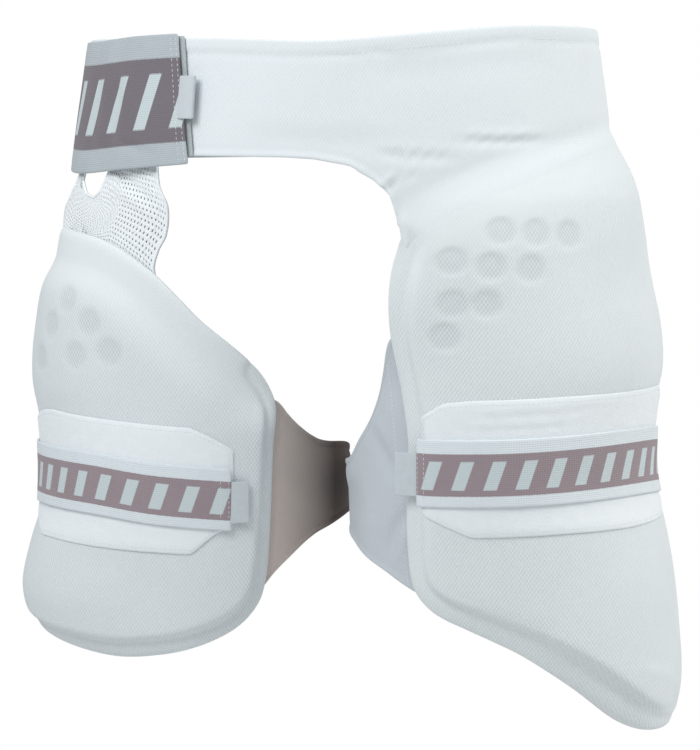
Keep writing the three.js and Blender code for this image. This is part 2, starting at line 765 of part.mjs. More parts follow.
// Edges of the elastic belt, in shares of its height, from its seam at the back to its free end
const elasticRows = table(['turn', 'top', 'bottom'], [
  [138, 0.46, -0.5], [180, 0.45, -0.52], [240, 0.44, -0.53], [275, 0.435, -0.57], [303, 0.437, -0.608],
  [325, 0.478, -0.52], [343, 0.5, -0.461],
]);
const onBand = yokeWall + layerGap + facetRoom;
const onHook = onBand + hookWall + layerGap;

// The belt lies over the yoke's end at the back, on the body, and over the yoke and the hooks in front
function elasticSeat(turn) {
  const hookStart = elasticFreeEnd - elasticSlant - hookLength;
  const bandStart = 360 + yokeFrontEnd - elasticLift - elasticLiftRoom;
  const pastSeam = smooth((turn - yokeBackEnd - elasticLiftRoom) / elasticLift);
  const pastBandStart = smooth((turn - bandStart) / elasticLift);
  const pastHookStart = smooth((turn - hookStart + elasticLift) / elasticLift);
  const overHooks = onHook + facetRoom - onBand;
  return onBand * (1 - pastSeam + pastBandStart) + overHooks * pastHookStart;
}

function elasticBody() {
  const start = yokeBackEnd - elasticSeam;
  const columns = Math.ceil((elasticFreeEnd - start) / waistStep);
  return clothWall(columns, elasticRowCount, (across, down, face) => {
    const turn = mix(start, elasticFreeEnd - elasticSlant * (1 - down), across);
    const top = follow(elasticRows, 'turn', 'top', turn) * elasticHeight;
    const bottom = follow(elasticRows, 'turn', 'bottom', turn) * elasticHeight;
    return waistPoint(turn, mix(top, bottom, down), elasticSeat(turn) + face * elasticWall);
  });
}

// The strip of hooks under the belt's free end, which shows just past it
function hookBody() {
  return clothWall(4, 3, (across, down, face) => {
    const end = elasticFreeEnd + hookShow - elasticSlant * (1 - down);
    const turn = mix(end - hookLength, end, across);
    const top = follow(elasticRows, 'turn', 'top', turn) * elasticHeight - hookInset;
    const bottom = follow(elasticRows, 'turn', 'bottom', turn) * elasticHeight + hookInset;
    return waistPoint(turn, mix(top, bottom, down), onBand + face * hookWall);
  });
}

// A folded label sewn on the belt's free end, with its fold standing a little proud
function pullTabBody() {
  const end = elasticFreeEnd + pullTabOverhang;
  const seat = onHook + facetRoom + elasticWall + layerGap;
  return clothWall(5, 2, (across, down, face) => {
    const turn = mix(end - pullTabTurn, end, across);
    const bulge = pullTabBulge * Math.sin(across * 180 * radian);
    return waistPoint(turn, (pullTabRise - down) * pullTabHeight, seat + face * (tabWall + bulge));
  });
}

// The mesh panel

// Its top edge, with the open notch below the belt: shares of the drop from its top to the inner pad
const meshTopRows = table(['angle', 'drop'], [
  [50, 0], [45, 0], [42, 0.41], [34, 0.55], [26.3, 0.61], [22, 0.5], [18, 0.31], [15.5, 0], [9, 0],
  [3, 0], [-3, 0], [-8.4, 0],
]);
const meshFootAngles = [84, 73, 61, 48, 38, 29, 20, 13, 7, 1, -5, -10];

// Where its two free edges run, as they go down
const meshBackEdge = table(['down', 'angle'], [[0, 50], [0.26, 49.5], [0.485, 57], [0.71, 69], [1, 84]]);
const meshFrontEdge = table(['down', 'angle'], [
  [0, -8.4], [0.35, -11.7], [0.58, -10.5], [0.69, -7.3], [0.82, -5.6], [1, -10],
]);

// How far an edge bows from the straight line between its ends
function meshBow(edge, down) {
  return follow(edge, 'down', 'angle', down) - mix(edge[0].angle, edge.at(-1).angle, down);
}

// The panel lies behind the band at its top, and close behind the pad at its foot
function meshBody() {
  const last = meshTopRows.length - 1;
  const behindBand = -(meshWall + layerGap + facetRoom);
  return clothWall(last, meshRows, (across, down, face) => {
    const head = meshTopRows[Math.round(across * last)];
    const footAngle = meshFootAngles[Math.round(across * last)];
    const topHeight = mix(meshTop, innerPad.top, head.drop);
    const footHeight = padTopEdge(innerPad, footAngle) - meshTuck;
    const height = mix(topHeight, footHeight, down);
    const bow = mix(meshBow(meshBackEdge, down), meshBow(meshFrontEdge, down), across);
    const angle = mix(head.angle, footAngle, down) + bow;
    const tuck = behindBand * (1 - smooth((bandBottom - height) / meshTuckRun));
    const lift = meshFootLift * (1 - smooth((height - footHeight - meshTuck) / meshFootRun));
    return thighPoint(rightThigh, angle, height, tuck + lift + face * meshWall);
  });
}

// The whole guard

const outerLoops = strapLoops(outerStrap, outerPatch, strapRows);
const innerLoops = strapLoops(innerStrap, innerPatch, strapRows);

const waist = new THREE.Group();
waist.add(
  piece('waist_yoke', yokeBody(), finishes.knit),
  piece('waist_elastic', elasticBody(), finishes.elastic),
  piece('waist_hook_tape', hookBody(), finishes.hook),
  piece('waist_pull_tab', pullTabBody(), finishes.label),
);

const leftLeg = new THREE.Group();
leftLeg.position.set(leftThigh.centreX, leftThigh.centreY, 0);
leftLeg.add(
  piece('outer_pad', padBody(outerPad), finishes.padCover),
  piece('outer_wing', wingBody(outerWing), finishes.wing),
  piece('outer_loop_patch', patchBody(outerPatch), finishes.loop),
  piece('outer_strap', strapBody(outerStrap, outerLoops), finishes.strap),
  piece('outer_strap_tab', strapTabBody(outerStrap, outerLoops, outerTabLength), finishes.label),
);

const rightLeg = new THREE.Group();
rightLeg.position.set(rightThigh.centreX, rightThigh.centreY, 0);
rightLeg.add(
  piece('mesh_panel', meshBody(), finishes.mesh),
  piece('inner_pad', padBody(innerPad), finishes.padCover),
  piece('inner_wing', wingBody(innerWing), finishes.wing),
  piece('inner_loop_patch', patchBody(innerPatch), finishes.loop),
  piece('inner_strap', strapBody(innerStrap, innerLoops), finishes.strap),
  piece('inner_strap_tab', strapTabBody(innerStrap, innerLoops, innerTabLength), finishes.label),
);

const thighGuard = new THREE.Group();
thighGuard.add(waist, leftLeg, rightLeg);

export default thighGuard;
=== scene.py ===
import math

import bpy
import numpy as np
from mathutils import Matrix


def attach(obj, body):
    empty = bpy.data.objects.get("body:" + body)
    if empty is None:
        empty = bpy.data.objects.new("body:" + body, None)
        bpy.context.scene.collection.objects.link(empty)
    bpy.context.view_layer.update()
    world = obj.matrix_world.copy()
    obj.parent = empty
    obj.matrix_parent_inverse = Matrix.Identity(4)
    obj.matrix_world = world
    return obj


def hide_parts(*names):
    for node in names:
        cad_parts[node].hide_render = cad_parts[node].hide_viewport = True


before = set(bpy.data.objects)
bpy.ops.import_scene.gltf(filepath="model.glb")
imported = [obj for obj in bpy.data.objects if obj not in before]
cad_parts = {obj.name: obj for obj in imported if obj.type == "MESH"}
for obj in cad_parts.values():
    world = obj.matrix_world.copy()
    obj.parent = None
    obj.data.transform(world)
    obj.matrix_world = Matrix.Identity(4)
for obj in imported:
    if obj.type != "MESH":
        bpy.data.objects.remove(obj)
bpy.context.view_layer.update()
bpy.ops.object.select_all(action="DESELECT")

# Outer pad
# A sheet of moulded foam, thinned at its edges, in a close cover of white knit that is sewn shut
# round it and hangs outside the left thigh. Round holes in the foam show through as vents. It is
# laid on an oval waist and thigh, and lengths are in millimetres up to the moment a mesh is made.
mm = 0.001
radian = math.pi / 180
waist_half_width = 168
waist_half_depth = 121
hip_slope = 0.155
hip_reach = 60
hip_top = -42
hip_bottom = -185
thigh_taper = 0.0003
left_thigh = {"side": 1, "x": 98.5, "y": -5, "half_width": 89.5, "half_depth": 92}


def mix(start, end, share):
    return start + (end - start) * share


def smooth(share):
    inside = np.clip(share, 0, 1)
    return inside * inside * (3 - 2 * inside)


def follow(rows, place):
    """The value at a place on a smooth curve through rows of place and value"""
    places, values = np.array(rows, float).T
    last = len(places) - 1
    before = np.maximum(np.arange(last + 1) - 1, 0)
    after = np.minimum(np.arange(last + 1) + 1, last)
    slopes = (values[after] - values[before]) / (places[after] - places[before])
    start = np.clip(np.searchsorted(places, place, side="right") - 1, 0, last - 1)
    run = places[start + 1] - places[start]
    share = np.clip((place - places[start]) / run, 0, 1)
    leave = slopes[start] * run * share * (1 - share) ** 2
    arrive = slopes[start + 1] * run * share**2 * (share - 1)
    return mix(values[start], values[start + 1], smooth(share)) + leave + arrive


def body_radius(thigh, angle, height):
    """The waist above, the thigh below, and a blend between, about the thigh's axis"""
    spread = hip_slope * np.clip(-height, -hip_reach, hip_reach)
    half_width = waist_half_width + spread
    half_depth = waist_half_depth + spread / 2
    sine = np.sin(angle * radian)
    cosine = np.cos(angle * radian)
    across = thigh["side"] * sine / half_width
    along = -cosine / half_depth
    start_across = thigh["x"] / half_width
    start_along = thigh["y"] / half_depth
    a = across**2 + along**2
    b = across * start_across + along * start_along
    c = start_across**2 + start_along**2 - 1
    on_waist = (-b + np.sqrt(b * b - a * c)) / a
    taper = 1 - thigh_taper * np.maximum(0, hip_bottom - height)
    on_thigh = taper / np.hypot(sine / thigh["half_width"], cosine / thigh["half_depth"])
    return mix(on_waist, on_thigh, smooth((hip_top - height) / (hip_top - hip_bottom)))


def thigh_point(thigh, angle, height, offset):
    """A point on the body at an angle about a thigh, from the front towards the outside"""
    angle, height, offset = np.broadcast_arrays(angle, height, offset)
    radius = body_radius(thigh, angle, height) + offset
    x = thigh["x"] + thigh["side"] * radius * np.sin(angle * radian)
    y = thigh["y"] - radius * np.cos(angle * radian)
    return np.stack([x, y, height], -1)


# The flat pad has x across it from its middle and y down from its top
outer_rim = [
    (-0.443, 0.173), (-0.428, 0.152), (-0.358, 0.12), (-0.279, 0.092), (-0.185, 0.067),
    (-0.032, 0.037), (0.084, 0.02), (0.215, 0.007), (0.346, 0), (0.433, 0.008), (0.484, 0.04),
    (0.499, 0.113), (0.5, 0.367), (0.5, 0.743), (0.489, 0.86), (0.461, 0.93), (0.408, 0.97),
    (0.33, 0.984), (0.22, 0.979), (0.105, 0.948), (0.004, 0.897), (-0.145, 0.832), (-0.303, 0.788),
    (-0.377, 0.767), (-0.427, 0.735), (-0.446, 0.684), (-0.449, 0.582), (-0.443, 0.493),
    (-0.457, 0.424), (-0.474, 0.362), (-0.48, 0.314), (-0.468, 0.239),
]
rim_points = 260
pad_stand_off = 2.9


def smooth_rim(points, count):
    """A closed smooth line through points, as evenly spaced points"""
    points = np.array(points, float)
    total = len(points)
    line = []
    for place in range(total):
        p = [points[(place + step) % total] for step in (-1, 0, 1, 2)]
        knots = [0.0]
        for first, second in zip(p[:-1], p[1:]):
            knots.append(knots[-1] + math.sqrt(np.linalg.norm(second - first)))
        for t in np.linspace(knots[1], knots[2], 16, endpoint=False):
            level = p
            for order in (1, 2, 3):
                level = [
                    ((knots[i + order] - t) * level[i] + (t - knots[i]) * level[i + 1])
                    / (knots[i + order] - knots[i])
                    for i in range(4 - order)
                ]
            line.append(level[0])
    line = np.array(line + [line[0]])
    steps = np.concatenate([[0], np.cumsum(np.linalg.norm(np.diff(line, axis=0), axis=1))])
    even = np.linspace(0, steps[-1], count, endpoint=False)
    return np.stack([np.interp(even, steps, line[:, axis]) for axis in (0, 1)], -1)


def cut_pad(thigh, rim, corners, **sizes):
    """A pad's sizes with its rim in millimetres, parted at its corners into top edge and sides"""
    scale = np.array([sizes["width"], sizes["height"]])
    marks = np.array(rim) * scale
    line = smooth_rim(marks, rim_points)
    places = [int(np.linalg.norm(line - marks[row], axis=1).argmin()) for row in corners]
    run = (places[1] - places[0]) % rim_points
    top = line[(places[0] + np.arange(run + 1)) % rim_points]
    sides = line[(places[1] + np.arange(rim_points - run + 1)) % rim_points]
    arc = (thigh["half_width"] + thigh["half_depth"]) / 2 + pad_stand_off
    return {
        "thigh": thigh, "rim": line, "corners": places, "top_edge": top, "sides": sides,
        "arc": arc, **sizes,
    }


outer_pad = cut_pad(
    left_thigh, outer_rim, (0, 10, 15, 24),
    width=228, height=373, top=-23, middle=50.4, thickness=14, edge=3.2, blunt=1, swell=22,
    swell_from=10, swell_to=88, base=2,
    bevel=[(0, 12), (0.25, 15), (0.55, 15.5), (0.72, 15), (0.84, 17), (1, 18)],
    lag=8, crown=[
        (-15, 0.02), (-8, 0.1), (0, 0.28), (8, 0.51), (17, 0.72), (30, 0.89), (44, 0.98), (60, 1),
    ],
    swells=[
        (0.15, 0), (0.206, 0.01), (0.255, 0.08), (0.303, 0.18), (0.351, 0.22), (0.39, 0.18),
        (0.43, 0.03), (0.47, -0.05), (0.5, -0.09), (0.56, -0.06), (0.6, 0.1), (0.64, 0.34),
        (0.74, 0.7), (0.83, 0.9), (0.914, 1), (1, 0.8),
    ],
    vents=[
        (-0.202, 0.147), (-0.111, 0.15), (-0.017, 0.154), (-0.314, 0.194), (-0.225, 0.203),
        (-0.129, 0.207), (-0.311, 0.262), (-0.234, 0.262), (-0.329, 0.315),
    ],
)


def line_distance(line, x, y):
    """How far places are from a line of points"""
    places = np.stack([x, y], -1)
    nearest = np.full(x.shape, 1e9)
    for start, end in zip(line[:-1], line[1:]):
        along = end - start
        share = np.clip(((places - start) @ along) / (along @ along), 0, 1)
        away = places - start - share[..., None] * along
        nearest = np.minimum(nearest, np.linalg.norm(away, axis=-1))
    return nearest


def below_top(pad, x, y):
    """How far places are below the pad's upper edge, and less than nothing above it"""
    order = np.argsort(pad["top_edge"][:, 0])
    edge = np.interp(x, pad["top_edge"][order, 0], pad["top_edge"][order, 1])
    return line_distance(pad["top_edge"], x, y) * np.where(y >= edge, 1, -1)


def pad_angle(pad, x):
    return pad["middle"] + x / pad["arc"] / radian


def pad_back(pad, x, y):
    """How far the back of the pad stands off the thigh"""
    swell_run = pad["swell_to"] - pad["swell_from"]
    outside = smooth((pad_angle(pad, x) - pad["swell_from"]) / swell_run)
    return pad_stand_off + pad["swell"] * outside * follow(pad["swells"], y / pad["height"])


# From the seam the foam is a thin lip, then it steps up to its full thickness
edge_profile = [
    (0, 0), (0.12, 0.14), (0.4, 0.28), (0.7, 0.35), (0.83, 0.5), (0.96, 0.85), (1.08, 0.97),
    (1.3, 1), (2, 1),
]

# Towards the outside the bevel is short and the edge stays thick
outside_bevel = 9
outside_edge = 11.5


def pad_skin(pad, x, y):
    """How far the cover of the pad stands off the thigh"""
    outside = pad["blunt"] * smooth((x / pad["width"] - 0.08) / 0.26)
    bevel = mix(follow(pad["bevel"], y / pad["height"]), outside_bevel, outside)
    share = follow(edge_profile, line_distance(pad["sides"], x, y) / bevel)
    edge = mix(pad["edge"], outside_edge, outside)
    full = pad_back(pad, x, y) + mix(edge, pad["thickness"], share)
    lag = pad["lag"] * smooth((x + 80) / 130)
    return mix(pad["base"], full, follow(pad["crown"], below_top(pad, x, y) - lag))


def rim_run(pad, start, end, shares):
    """Places along the rim between two corners"""
    first = pad["corners"][start]
    run = (pad["corners"][end] - first) % rim_points
    place = first + run * shares
    whole = np.floor(place).astype(int)
    here = pad["rim"][whole % rim_points]
    return mix(here, pad["rim"][(whole + 1) % rim_points], (place - whole)[:, None])


def lay_out_pad(pad, rows, columns):
    """Rows and columns of places on the flat pad, blended from its four edges"""
    crowd = 0.5
    down = np.linspace(0, 1, rows)
    down = mix(down, smooth(down), crowd)
    across = np.linspace(0, 1, columns)
    across = mix(across, smooth(across), crowd)
    top = rim_run(pad, 0, 1, across)[None]
    side = rim_run(pad, 1, 2, down)[:, None]
    bottom = rim_run(pad, 2, 3, 1 - across)[None]
    inner = rim_run(pad, 3, 0, 1 - down)[:, None]
    corners = pad["rim"][pad["corners"]]
    d = down[:, None, None]
    a = across[None, :, None]
    ruled = mix(top, bottom, d) + mix(inner, side, a)
    return ruled - mix(mix(corners[0], corners[1], a), mix(corners[3], corners[2], a), d)


def face_out(points, middle):
    """1 where rows running down and columns running across make faces that point out, else -1"""
    down = points[1:, :-1] - points[:-1, :-1]
    across = points[:-1, 1:] - points[:-1, :-1]
    away = points[:-1, :-1] - np.array(middle)
    return 1 if (np.cross(down, across) * away)[..., :2].sum() > 0 else -1


def grid_faces(index):
    corners = [index[:-1, :-1], index[1:, :-1], index[1:, 1:], index[:-1, 1:]]
    return np.stack(corners, -1).reshape(-1, 4)


def new_piece(name, points, faces):
    """A piece with its mesh in metres, from points in millimetres"""
    mesh = bpy.data.meshes.new(name)
    mesh.from_pydata((np.asarray(points) * mm).tolist(), [], faces)
    mesh.update()
    piece = bpy.data.objects.new(name, mesh)
    bpy.context.scene.collection.objects.link(piece)
    return piece


def mark(piece, name, values):
    """A mask over a piece, kept as a point attribute"""
    layer = piece.data.attributes.new(name, "FLOAT", "POINT")
    layer.data.foreach_set("value", np.asarray(values, dtype=np.float32).ravel())


def make_piece(name, points, faces, flat, masks=None):
    """A piece with its flat cut, in metres, as its map and any masks as point attributes"""
    piece = new_piece(name, points, faces.tolist() if isinstance(faces, np.ndarray) else faces)
    mesh = piece.data
    corner = np.empty(len(mesh.loops), dtype=np.int32)
    mesh.loops.foreach_get("vertex_index", corner)
    cloth_map = mesh.uv_layers.new(name="cloth")
    cloth_map.data.foreach_set("uv", (np.asarray(flat)[corner] * mm).astype(np.float32).ravel())
    for mask, values in (masks or {}).items():
        mark(piece, mask, values)
    return piece


def pick(piece):
    """Selects one piece and nothing else"""
    bpy.ops.object.select_all(action="DESELECT")
    bpy.context.view_layer.objects.active = piece
    piece.select_set(True)


def finish_with(piece, kind, **settings):
    """Adds one modifier to a piece and applies it"""
    pick(piece)
    modifier = piece.modifiers.new(kind.title(), kind)
    for setting, value in settings.items():
        setattr(modifier, setting, value)
    bpy.ops.object.modifier_apply(modifier=modifier.name)
    piece.select_set(False)


def shade_smooth(piece):
    piece.data.polygons.foreach_set("use_smooth", [True] * len(piece.data.polygons))


def points_of(mesh):
    points = np.empty(len(mesh.vertices) * 3)
    mesh.vertices.foreach_get("co", points)
    return points.reshape(-1, 3)


def move_points(mesh, points, move):
    mesh.vertices.foreach_set("co", (points + move).ravel())
    mesh.update()


# The cover is filled by air pressure for a few frames, as foam fills a real one
cover_pressure = 4
cover_swell = 1.6
cover_frames = 20


def puff(piece, held):
    """Fills a cover from inside, held where it is sewn, and caps how far it swells"""
    mesh = piece.data
    before = points_of(mesh)
    sewn = piece.vertex_groups.new(name="sewn")
    for vertex, weight in enumerate(held):
        sewn.add([vertex], float(weight), "REPLACE")
    cloth = piece.modifiers.new("Cover", "CLOTH")
    cloth.settings.quality = 5
    cloth.settings.mass = 0.15
    cloth.settings.tension_stiffness = 25
    cloth.settings.compression_stiffness = 25
    cloth.settings.shear_stiffness = 12
    cloth.settings.bending_stiffness = 6
    cloth.settings.use_pressure = True
    cloth.settings.uniform_pressure_force = cover_pressure
    cloth.settings.vertex_group_mass = "sewn"
    cloth.settings.effector_weights.gravity = 0
    cloth.point_cache.frame_start = 1
    cloth.point_cache.frame_end = cover_frames
    for step in range(1, cover_frames + 1):
        bpy.context.scene.frame_set(step)
    pick(piece)
    bpy.ops.object.modifier_apply(modifier="Cover")
    piece.select_set(False)
    bpy.context.scene.frame_set(1)
    move = points_of(mesh) - before
    far = np.linalg.norm(move, axis=1, keepdims=True)
    move *= np.minimum(1, cover_swell * mm / np.maximum(far, 1e-9))
    move_points(mesh, before, move)
    piece.vertex_groups.clear()


def fold(flat, path, width, depth):
    """A crease pressed along a path on the flat cut, with a low lip beside it"""
    path = np.array(path, float)
    runs = np.linalg.norm(np.diff(path, axis=0), axis=1)
    reached = np.concatenate([[0], np.cumsum(runs)])
    nearest = np.full(flat.shape[:-1], 1e9)
    signed = np.zeros(flat.shape[:-1])
    place = np.zeros(flat.shape[:-1])
    for start, end, run, before in zip(path[:-1], path[1:], runs, reached):
        along = (end - start) / run
        reach = (flat - start) @ along
        held = np.clip(reach, 0, run)
        away = flat - start - held[..., None] * along
        distance = np.linalg.norm(away, axis=-1)
        closer = distance < nearest
        side = np.sign((flat - start)[..., 0] * along[1] - (flat - start)[..., 1] * along[0])
        nearest = np.where(closer, distance, nearest)
        signed = np.where(closer, distance * side, signed)
        place = np.where(closer, (before + held) / reached[-1], place)
    ends = smooth(place / 0.35) * smooth((1 - place) / 0.35)
    lip = 0.55 * np.exp(-(((signed - 1.7 * width) / width) ** 2))
    return depth * ends * (lip - np.exp(-((signed / width) ** 2)))


def ripple(flat, size, seed):
    """Slow waves that real cloth has, between about -1 and 1"""
    total = 0
    for wave in range(5):
        turn = 2.4 * wave + seed
        scale = 2 * math.pi / (size * (1 + 0.37 * wave))
        run = flat[..., 0] * math.cos(turn) + flat[..., 1] * math.sin(turn)
        total = total + np.sin(run * scale + 1.7 * seed * (wave + 1)) / (wave + 1.6)
    return total / 1.6


def press(piece, relief):
    """Moves a piece's points along their normals by millimetres that depend on the flat cut"""
    mesh = piece.data
    corner = np.empty(len(mesh.loops), dtype=np.int32)
    mesh.loops.foreach_get("vertex_index", corner)
    spread = np.empty(len(mesh.loops) * 2, dtype=np.float32)
    mesh.uv_layers["cloth"].data.foreach_get("uv", spread)
    flat = np.zeros((len(mesh.vertices), 2))
    flat[corner] = spread.reshape(-1, 2) / mm
    normals = np.empty(len(mesh.vertices) * 3, dtype=np.float32)
    mesh.vertices.foreach_get("normal", normals)
    front = np.empty(len(mesh.vertices), dtype=np.float32)
    mesh.attributes["front"].data.foreach_get("value", front)
    move = (relief(flat) * front * mm)[:, None] * normals.reshape(-1, 3)
    move_points(mesh, points_of(mesh), move)
    return flat, front


vent_radius = 9.9
vent_slope = 3.6
vent_depth = 0.9
cover_pitch = 4.0
cover_seam_lip = 0.7
held_margin = 26


def vent_mask(pad, flat):
    """1 inside the round vents and 0 outside them"""
    mask = np.zeros(flat.shape[:-1])
    for across, down in pad["vents"]:
        centre = np.array([across * pad["width"], down * pad["height"]])
        far = np.linalg.norm(flat - centre, axis=-1)
        mask = np.maximum(mask, smooth((vent_radius - far) / vent_slope))
    return mask


def sew_pad(name, pad, sewn_area, creases):
    """The closed cover of a pad: its front, its back and the seam between them"""
    rows = int(pad["height"] / cover_pitch)
    columns = int(pad["width"] / cover_pitch)
    flat = lay_out_pad(pad, rows, columns)
    x = flat[..., 0]
    y = flat[..., 1]
    angle = pad_angle(pad, x)
    height = pad["top"] - y
    front = thigh_point(pad["thigh"], angle, height, pad_skin(pad, x, y))
    back = thigh_point(pad["thigh"], angle, height, pad_back(pad, x, y))
    count = rows * columns
    index = np.arange(count).reshape(rows, columns)
    loop = np.concatenate([index[0, :-1], index[:-1, -1], index[-1, :0:-1], index[:0:-1, 0]])
    inner = np.concatenate([index[1, :-1], index[:-1, -2], index[-2, :0:-1], index[:0:-1, 1]])
    front_points = front.reshape(-1, 3)
    back_points = back.reshape(-1, 3)
    away = front_points[loop] - front_points[inner]
    away /= np.linalg.norm(away, axis=1, keepdims=True)
    seam = (front_points[loop] + back_points[loop]) / 2 + away * cover_seam_lip
    points = np.concatenate([front_points, back_points, seam])
    flats = np.concatenate([flat.reshape(-1, 2), flat.reshape(-1, 2), flat.reshape(-1, 2)[loop]])
    seam_index = 2 * count + np.arange(len(loop))
    after = np.roll(loop, -1)
    seam_after = np.roll(seam_index, -1)
    faces = np.concatenate([
        grid_faces(index),
        grid_faces(index + count)[:, ::-1],
        np.stack([loop, after, seam_after, seam_index], -1),
        np.stack([seam_index, seam_after, after + count, loop + count], -1),
    ])
    axis = (pad["thigh"]["x"], pad["thigh"]["y"], 0)
    if face_out(front, axis) < 0:
        faces = faces[:, ::-1]
    ahead = np.concatenate([np.ones(count), np.zeros(count), np.full(len(loop), 0.5)])
    piece = make_piece(name, points, faces, flats, {"front": ahead})
    free = smooth(line_distance(np.vstack([pad["rim"], pad["rim"][:1]]), x, y) / held_margin)
    held = 1 - free * (1 - sewn_area(angle, height))
    weights = np.concatenate([held.ravel(), np.ones(count + len(loop))])
    puff(piece, weights)
    finish_with(piece, "SUBSURF", levels=1, render_levels=1)

    def relief(places):
        total = 0.16 * ripple(places, 70, 1.3) - vent_depth * vent_mask(pad, places)
        bevel = follow(pad["bevel"], places[:, 1] / pad["height"])
        from_side = line_distance(pad["sides"], places[:, 0], places[:, 1])
        total = total - 0.5 * np.exp(-(((from_side - 0.74 * bevel) / 2) ** 2))
        for path, width, depth in creases:
            total = total + fold(places, path, width, depth)
        return total

    places, ahead = press(piece, relief)
    mark(piece, "vent", vent_mask(pad, places) * ahead)
    from_top = below_top(pad, places[:, 0], places[:, 1])
    # Near the top edge the weave is flattened and the tone held at the cover's plain tone, on the
    # inner pad a painted highlight
    mark(piece, "plain", 0.65 * smooth((46 - from_top) / 34))
    shade_smooth(piece)
    return piece


# The loop patch on it is a long octagon, in angles and in edges above and below its middle
outer_patch = {
    "pad": outer_pad, "height": 84, "drop": 199.5,
    "rows": [
        (-4.8, 0.39, -0.29), (4, 0.51, -0.38), (13, 0.53, -0.46), (45, 0.55, -0.44),
        (72, 0.55, -0.44), (96, 0.55, -0.43), (108, 0.42, -0.33),
    ],
}


def patch_edges(patch, angle):
    """Heights of a patch's upper and lower edges"""
    places, top, bottom = np.array(patch["rows"]).T
    middle = patch["pad"]["top"] - patch["drop"]
    upper = middle + np.interp(angle, places, top) * patch["height"]
    lower = middle + np.interp(angle, places, bottom) * patch["height"]
    return upper, lower


def under_patch(patch):
    """1 where the cover is held by the patch that is sewn on it"""

    def held(angle, height):
        upper, lower = patch_edges(patch, angle)
        inside = np.minimum(upper - height, height - lower)
        ends = np.minimum(angle - patch["rows"][0][0], patch["rows"][-1][0] - angle)
        return smooth((inside + 8) / 8) * smooth((ends + 5) / 5)

    return held


def add(tree, kind, inputs=None, **settings):
    made = tree.nodes.new("ShaderNode" + kind)
    for setting, value in settings.items():
        setattr(made, setting, value)
    for socket, value in (inputs or {}).items():
        if isinstance(value, bpy.types.NodeSocket):
            tree.links.new(value, made.inputs[socket])
        else:
            made.inputs[socket].default_value = value
    return made


def calc(tree, operation, *values, clamp=False):
    made = add(tree, "Math", operation=operation, use_clamp=clamp)
    for place, value in enumerate(values):
        if isinstance(value, bpy.types.NodeSocket):
            tree.links.new(value, made.inputs[place])
        else:
            made.inputs[place].default_value = value
    return made.outputs[0]


def new_group(name, inputs, outputs):
    tree = bpy.data.node_groups.new(name, "ShaderNodeTree")
    for socket, kind in inputs.items():
        tree.interface.new_socket(name=socket, in_out="INPUT", socket_type="NodeSocket" + kind)
    for socket, kind in outputs.items():
        tree.interface.new_socket(name=socket, in_out="OUTPUT", socket_type="NodeSocket" + kind)
    entry = tree.nodes.new("NodeGroupInput")
    leave = tree.nodes.new("NodeGroupOutput")
    return tree, entry.outputs, leave.inputs


def noise(tree, place, scale, detail=2):
    spots = {"Vector": place, "Scale": scale, "Detail": detail}
    return add(tree, "TexNoise", spots).outputs[0]


def thread_wave(tree, run, pitch):
    """A row of threads: 0 in the gaps and 1 on the threads' backs"""
    turns = calc(tree, "MULTIPLY", calc(tree, "DIVIDE", run, pitch), 2 * math.pi)
    return calc(tree, "MULTIPLY_ADD", calc(tree, "SINE", turns), 0.5, 0.5)


# Two sets of slanting ridges make small diamonds, one set stronger than the other. A weave reads
# the flat map in metres, so it runs with the cloth as it bends.
knit_slant = 0.62
knit_weave, entry, leave = new_group(
    "Diagonal knit", {"Cloth": "Vector", "Pitch": "Float"}, {"Height": "Float", "Tone": "Float"}
)
parts = add(knit_weave, "SeparateXYZ", {0: entry["Cloth"]}).outputs
wobble = noise(knit_weave, entry["Cloth"], 90)
shift = calc(knit_weave, "MULTIPLY", calc(knit_weave, "SUBTRACT", wobble, 0.5), 0.0012)
lean = calc(knit_weave, "MULTIPLY", parts[1], knit_slant)
rise_right = calc(knit_weave, "ADD", calc(knit_weave, "ADD", parts[0], lean), shift)
rise_left = calc(knit_weave, "ADD", calc(knit_weave, "SUBTRACT", parts[0], lean), shift)
strong = thread_wave(knit_weave, rise_right, entry["Pitch"])
weak = thread_wave(knit_weave, rise_left, entry["Pitch"])
strong = calc(knit_weave, "MULTIPLY", strong, 0.58)
weak = calc(knit_weave, "MULTIPLY", weak, 0.42)
woven = calc(knit_weave, "ADD", strong, weak)
fuzz = noise(knit_weave, entry["Cloth"], 2600)
knit_weave.links.new(calc(knit_weave, "MULTIPLY_ADD", fuzz, 0.25, woven), leave["Height"])
blotch = noise(knit_weave, entry["Cloth"], 22, 3)
toned = calc(knit_weave, "MULTIPLY_ADD", woven, 0.62, calc(knit_weave, "MULTIPLY", blotch, 0.5))
knit_weave.links.new(calc(knit_weave, "SUBTRACT", toned, 0.06, clamp=True), leave["Tone"])


def new_material(name, roughness):
    """A material, its node tree and the sockets of its surface"""
    material = bpy.data.materials.new(name)
    material.use_nodes = True
    surface = material.node_tree.nodes["Principled BSDF"].inputs
    surface["Roughness"].default_value = roughness
    return material, material.node_tree, surface


def dye(tree, share, low, high):
    """A colour that runs between two, each a colour or a socket"""
    ends = [end if isinstance(end, bpy.types.NodeSocket) else (*end, 1) for end in (low, high)]
    sockets = {"Factor": share, "A": ends[0], "B": ends[1]}
    return add(tree, "Mix", sockets, data_type="RGBA").outputs["Result"]


# Stretched cloth shows its weave less. There its tone settles at one value, given for each cloth;
# on the band and hip panel that value is painted shade, and along the inner pad's top band it is a
# painted highlight.
middle_tone = 0.55


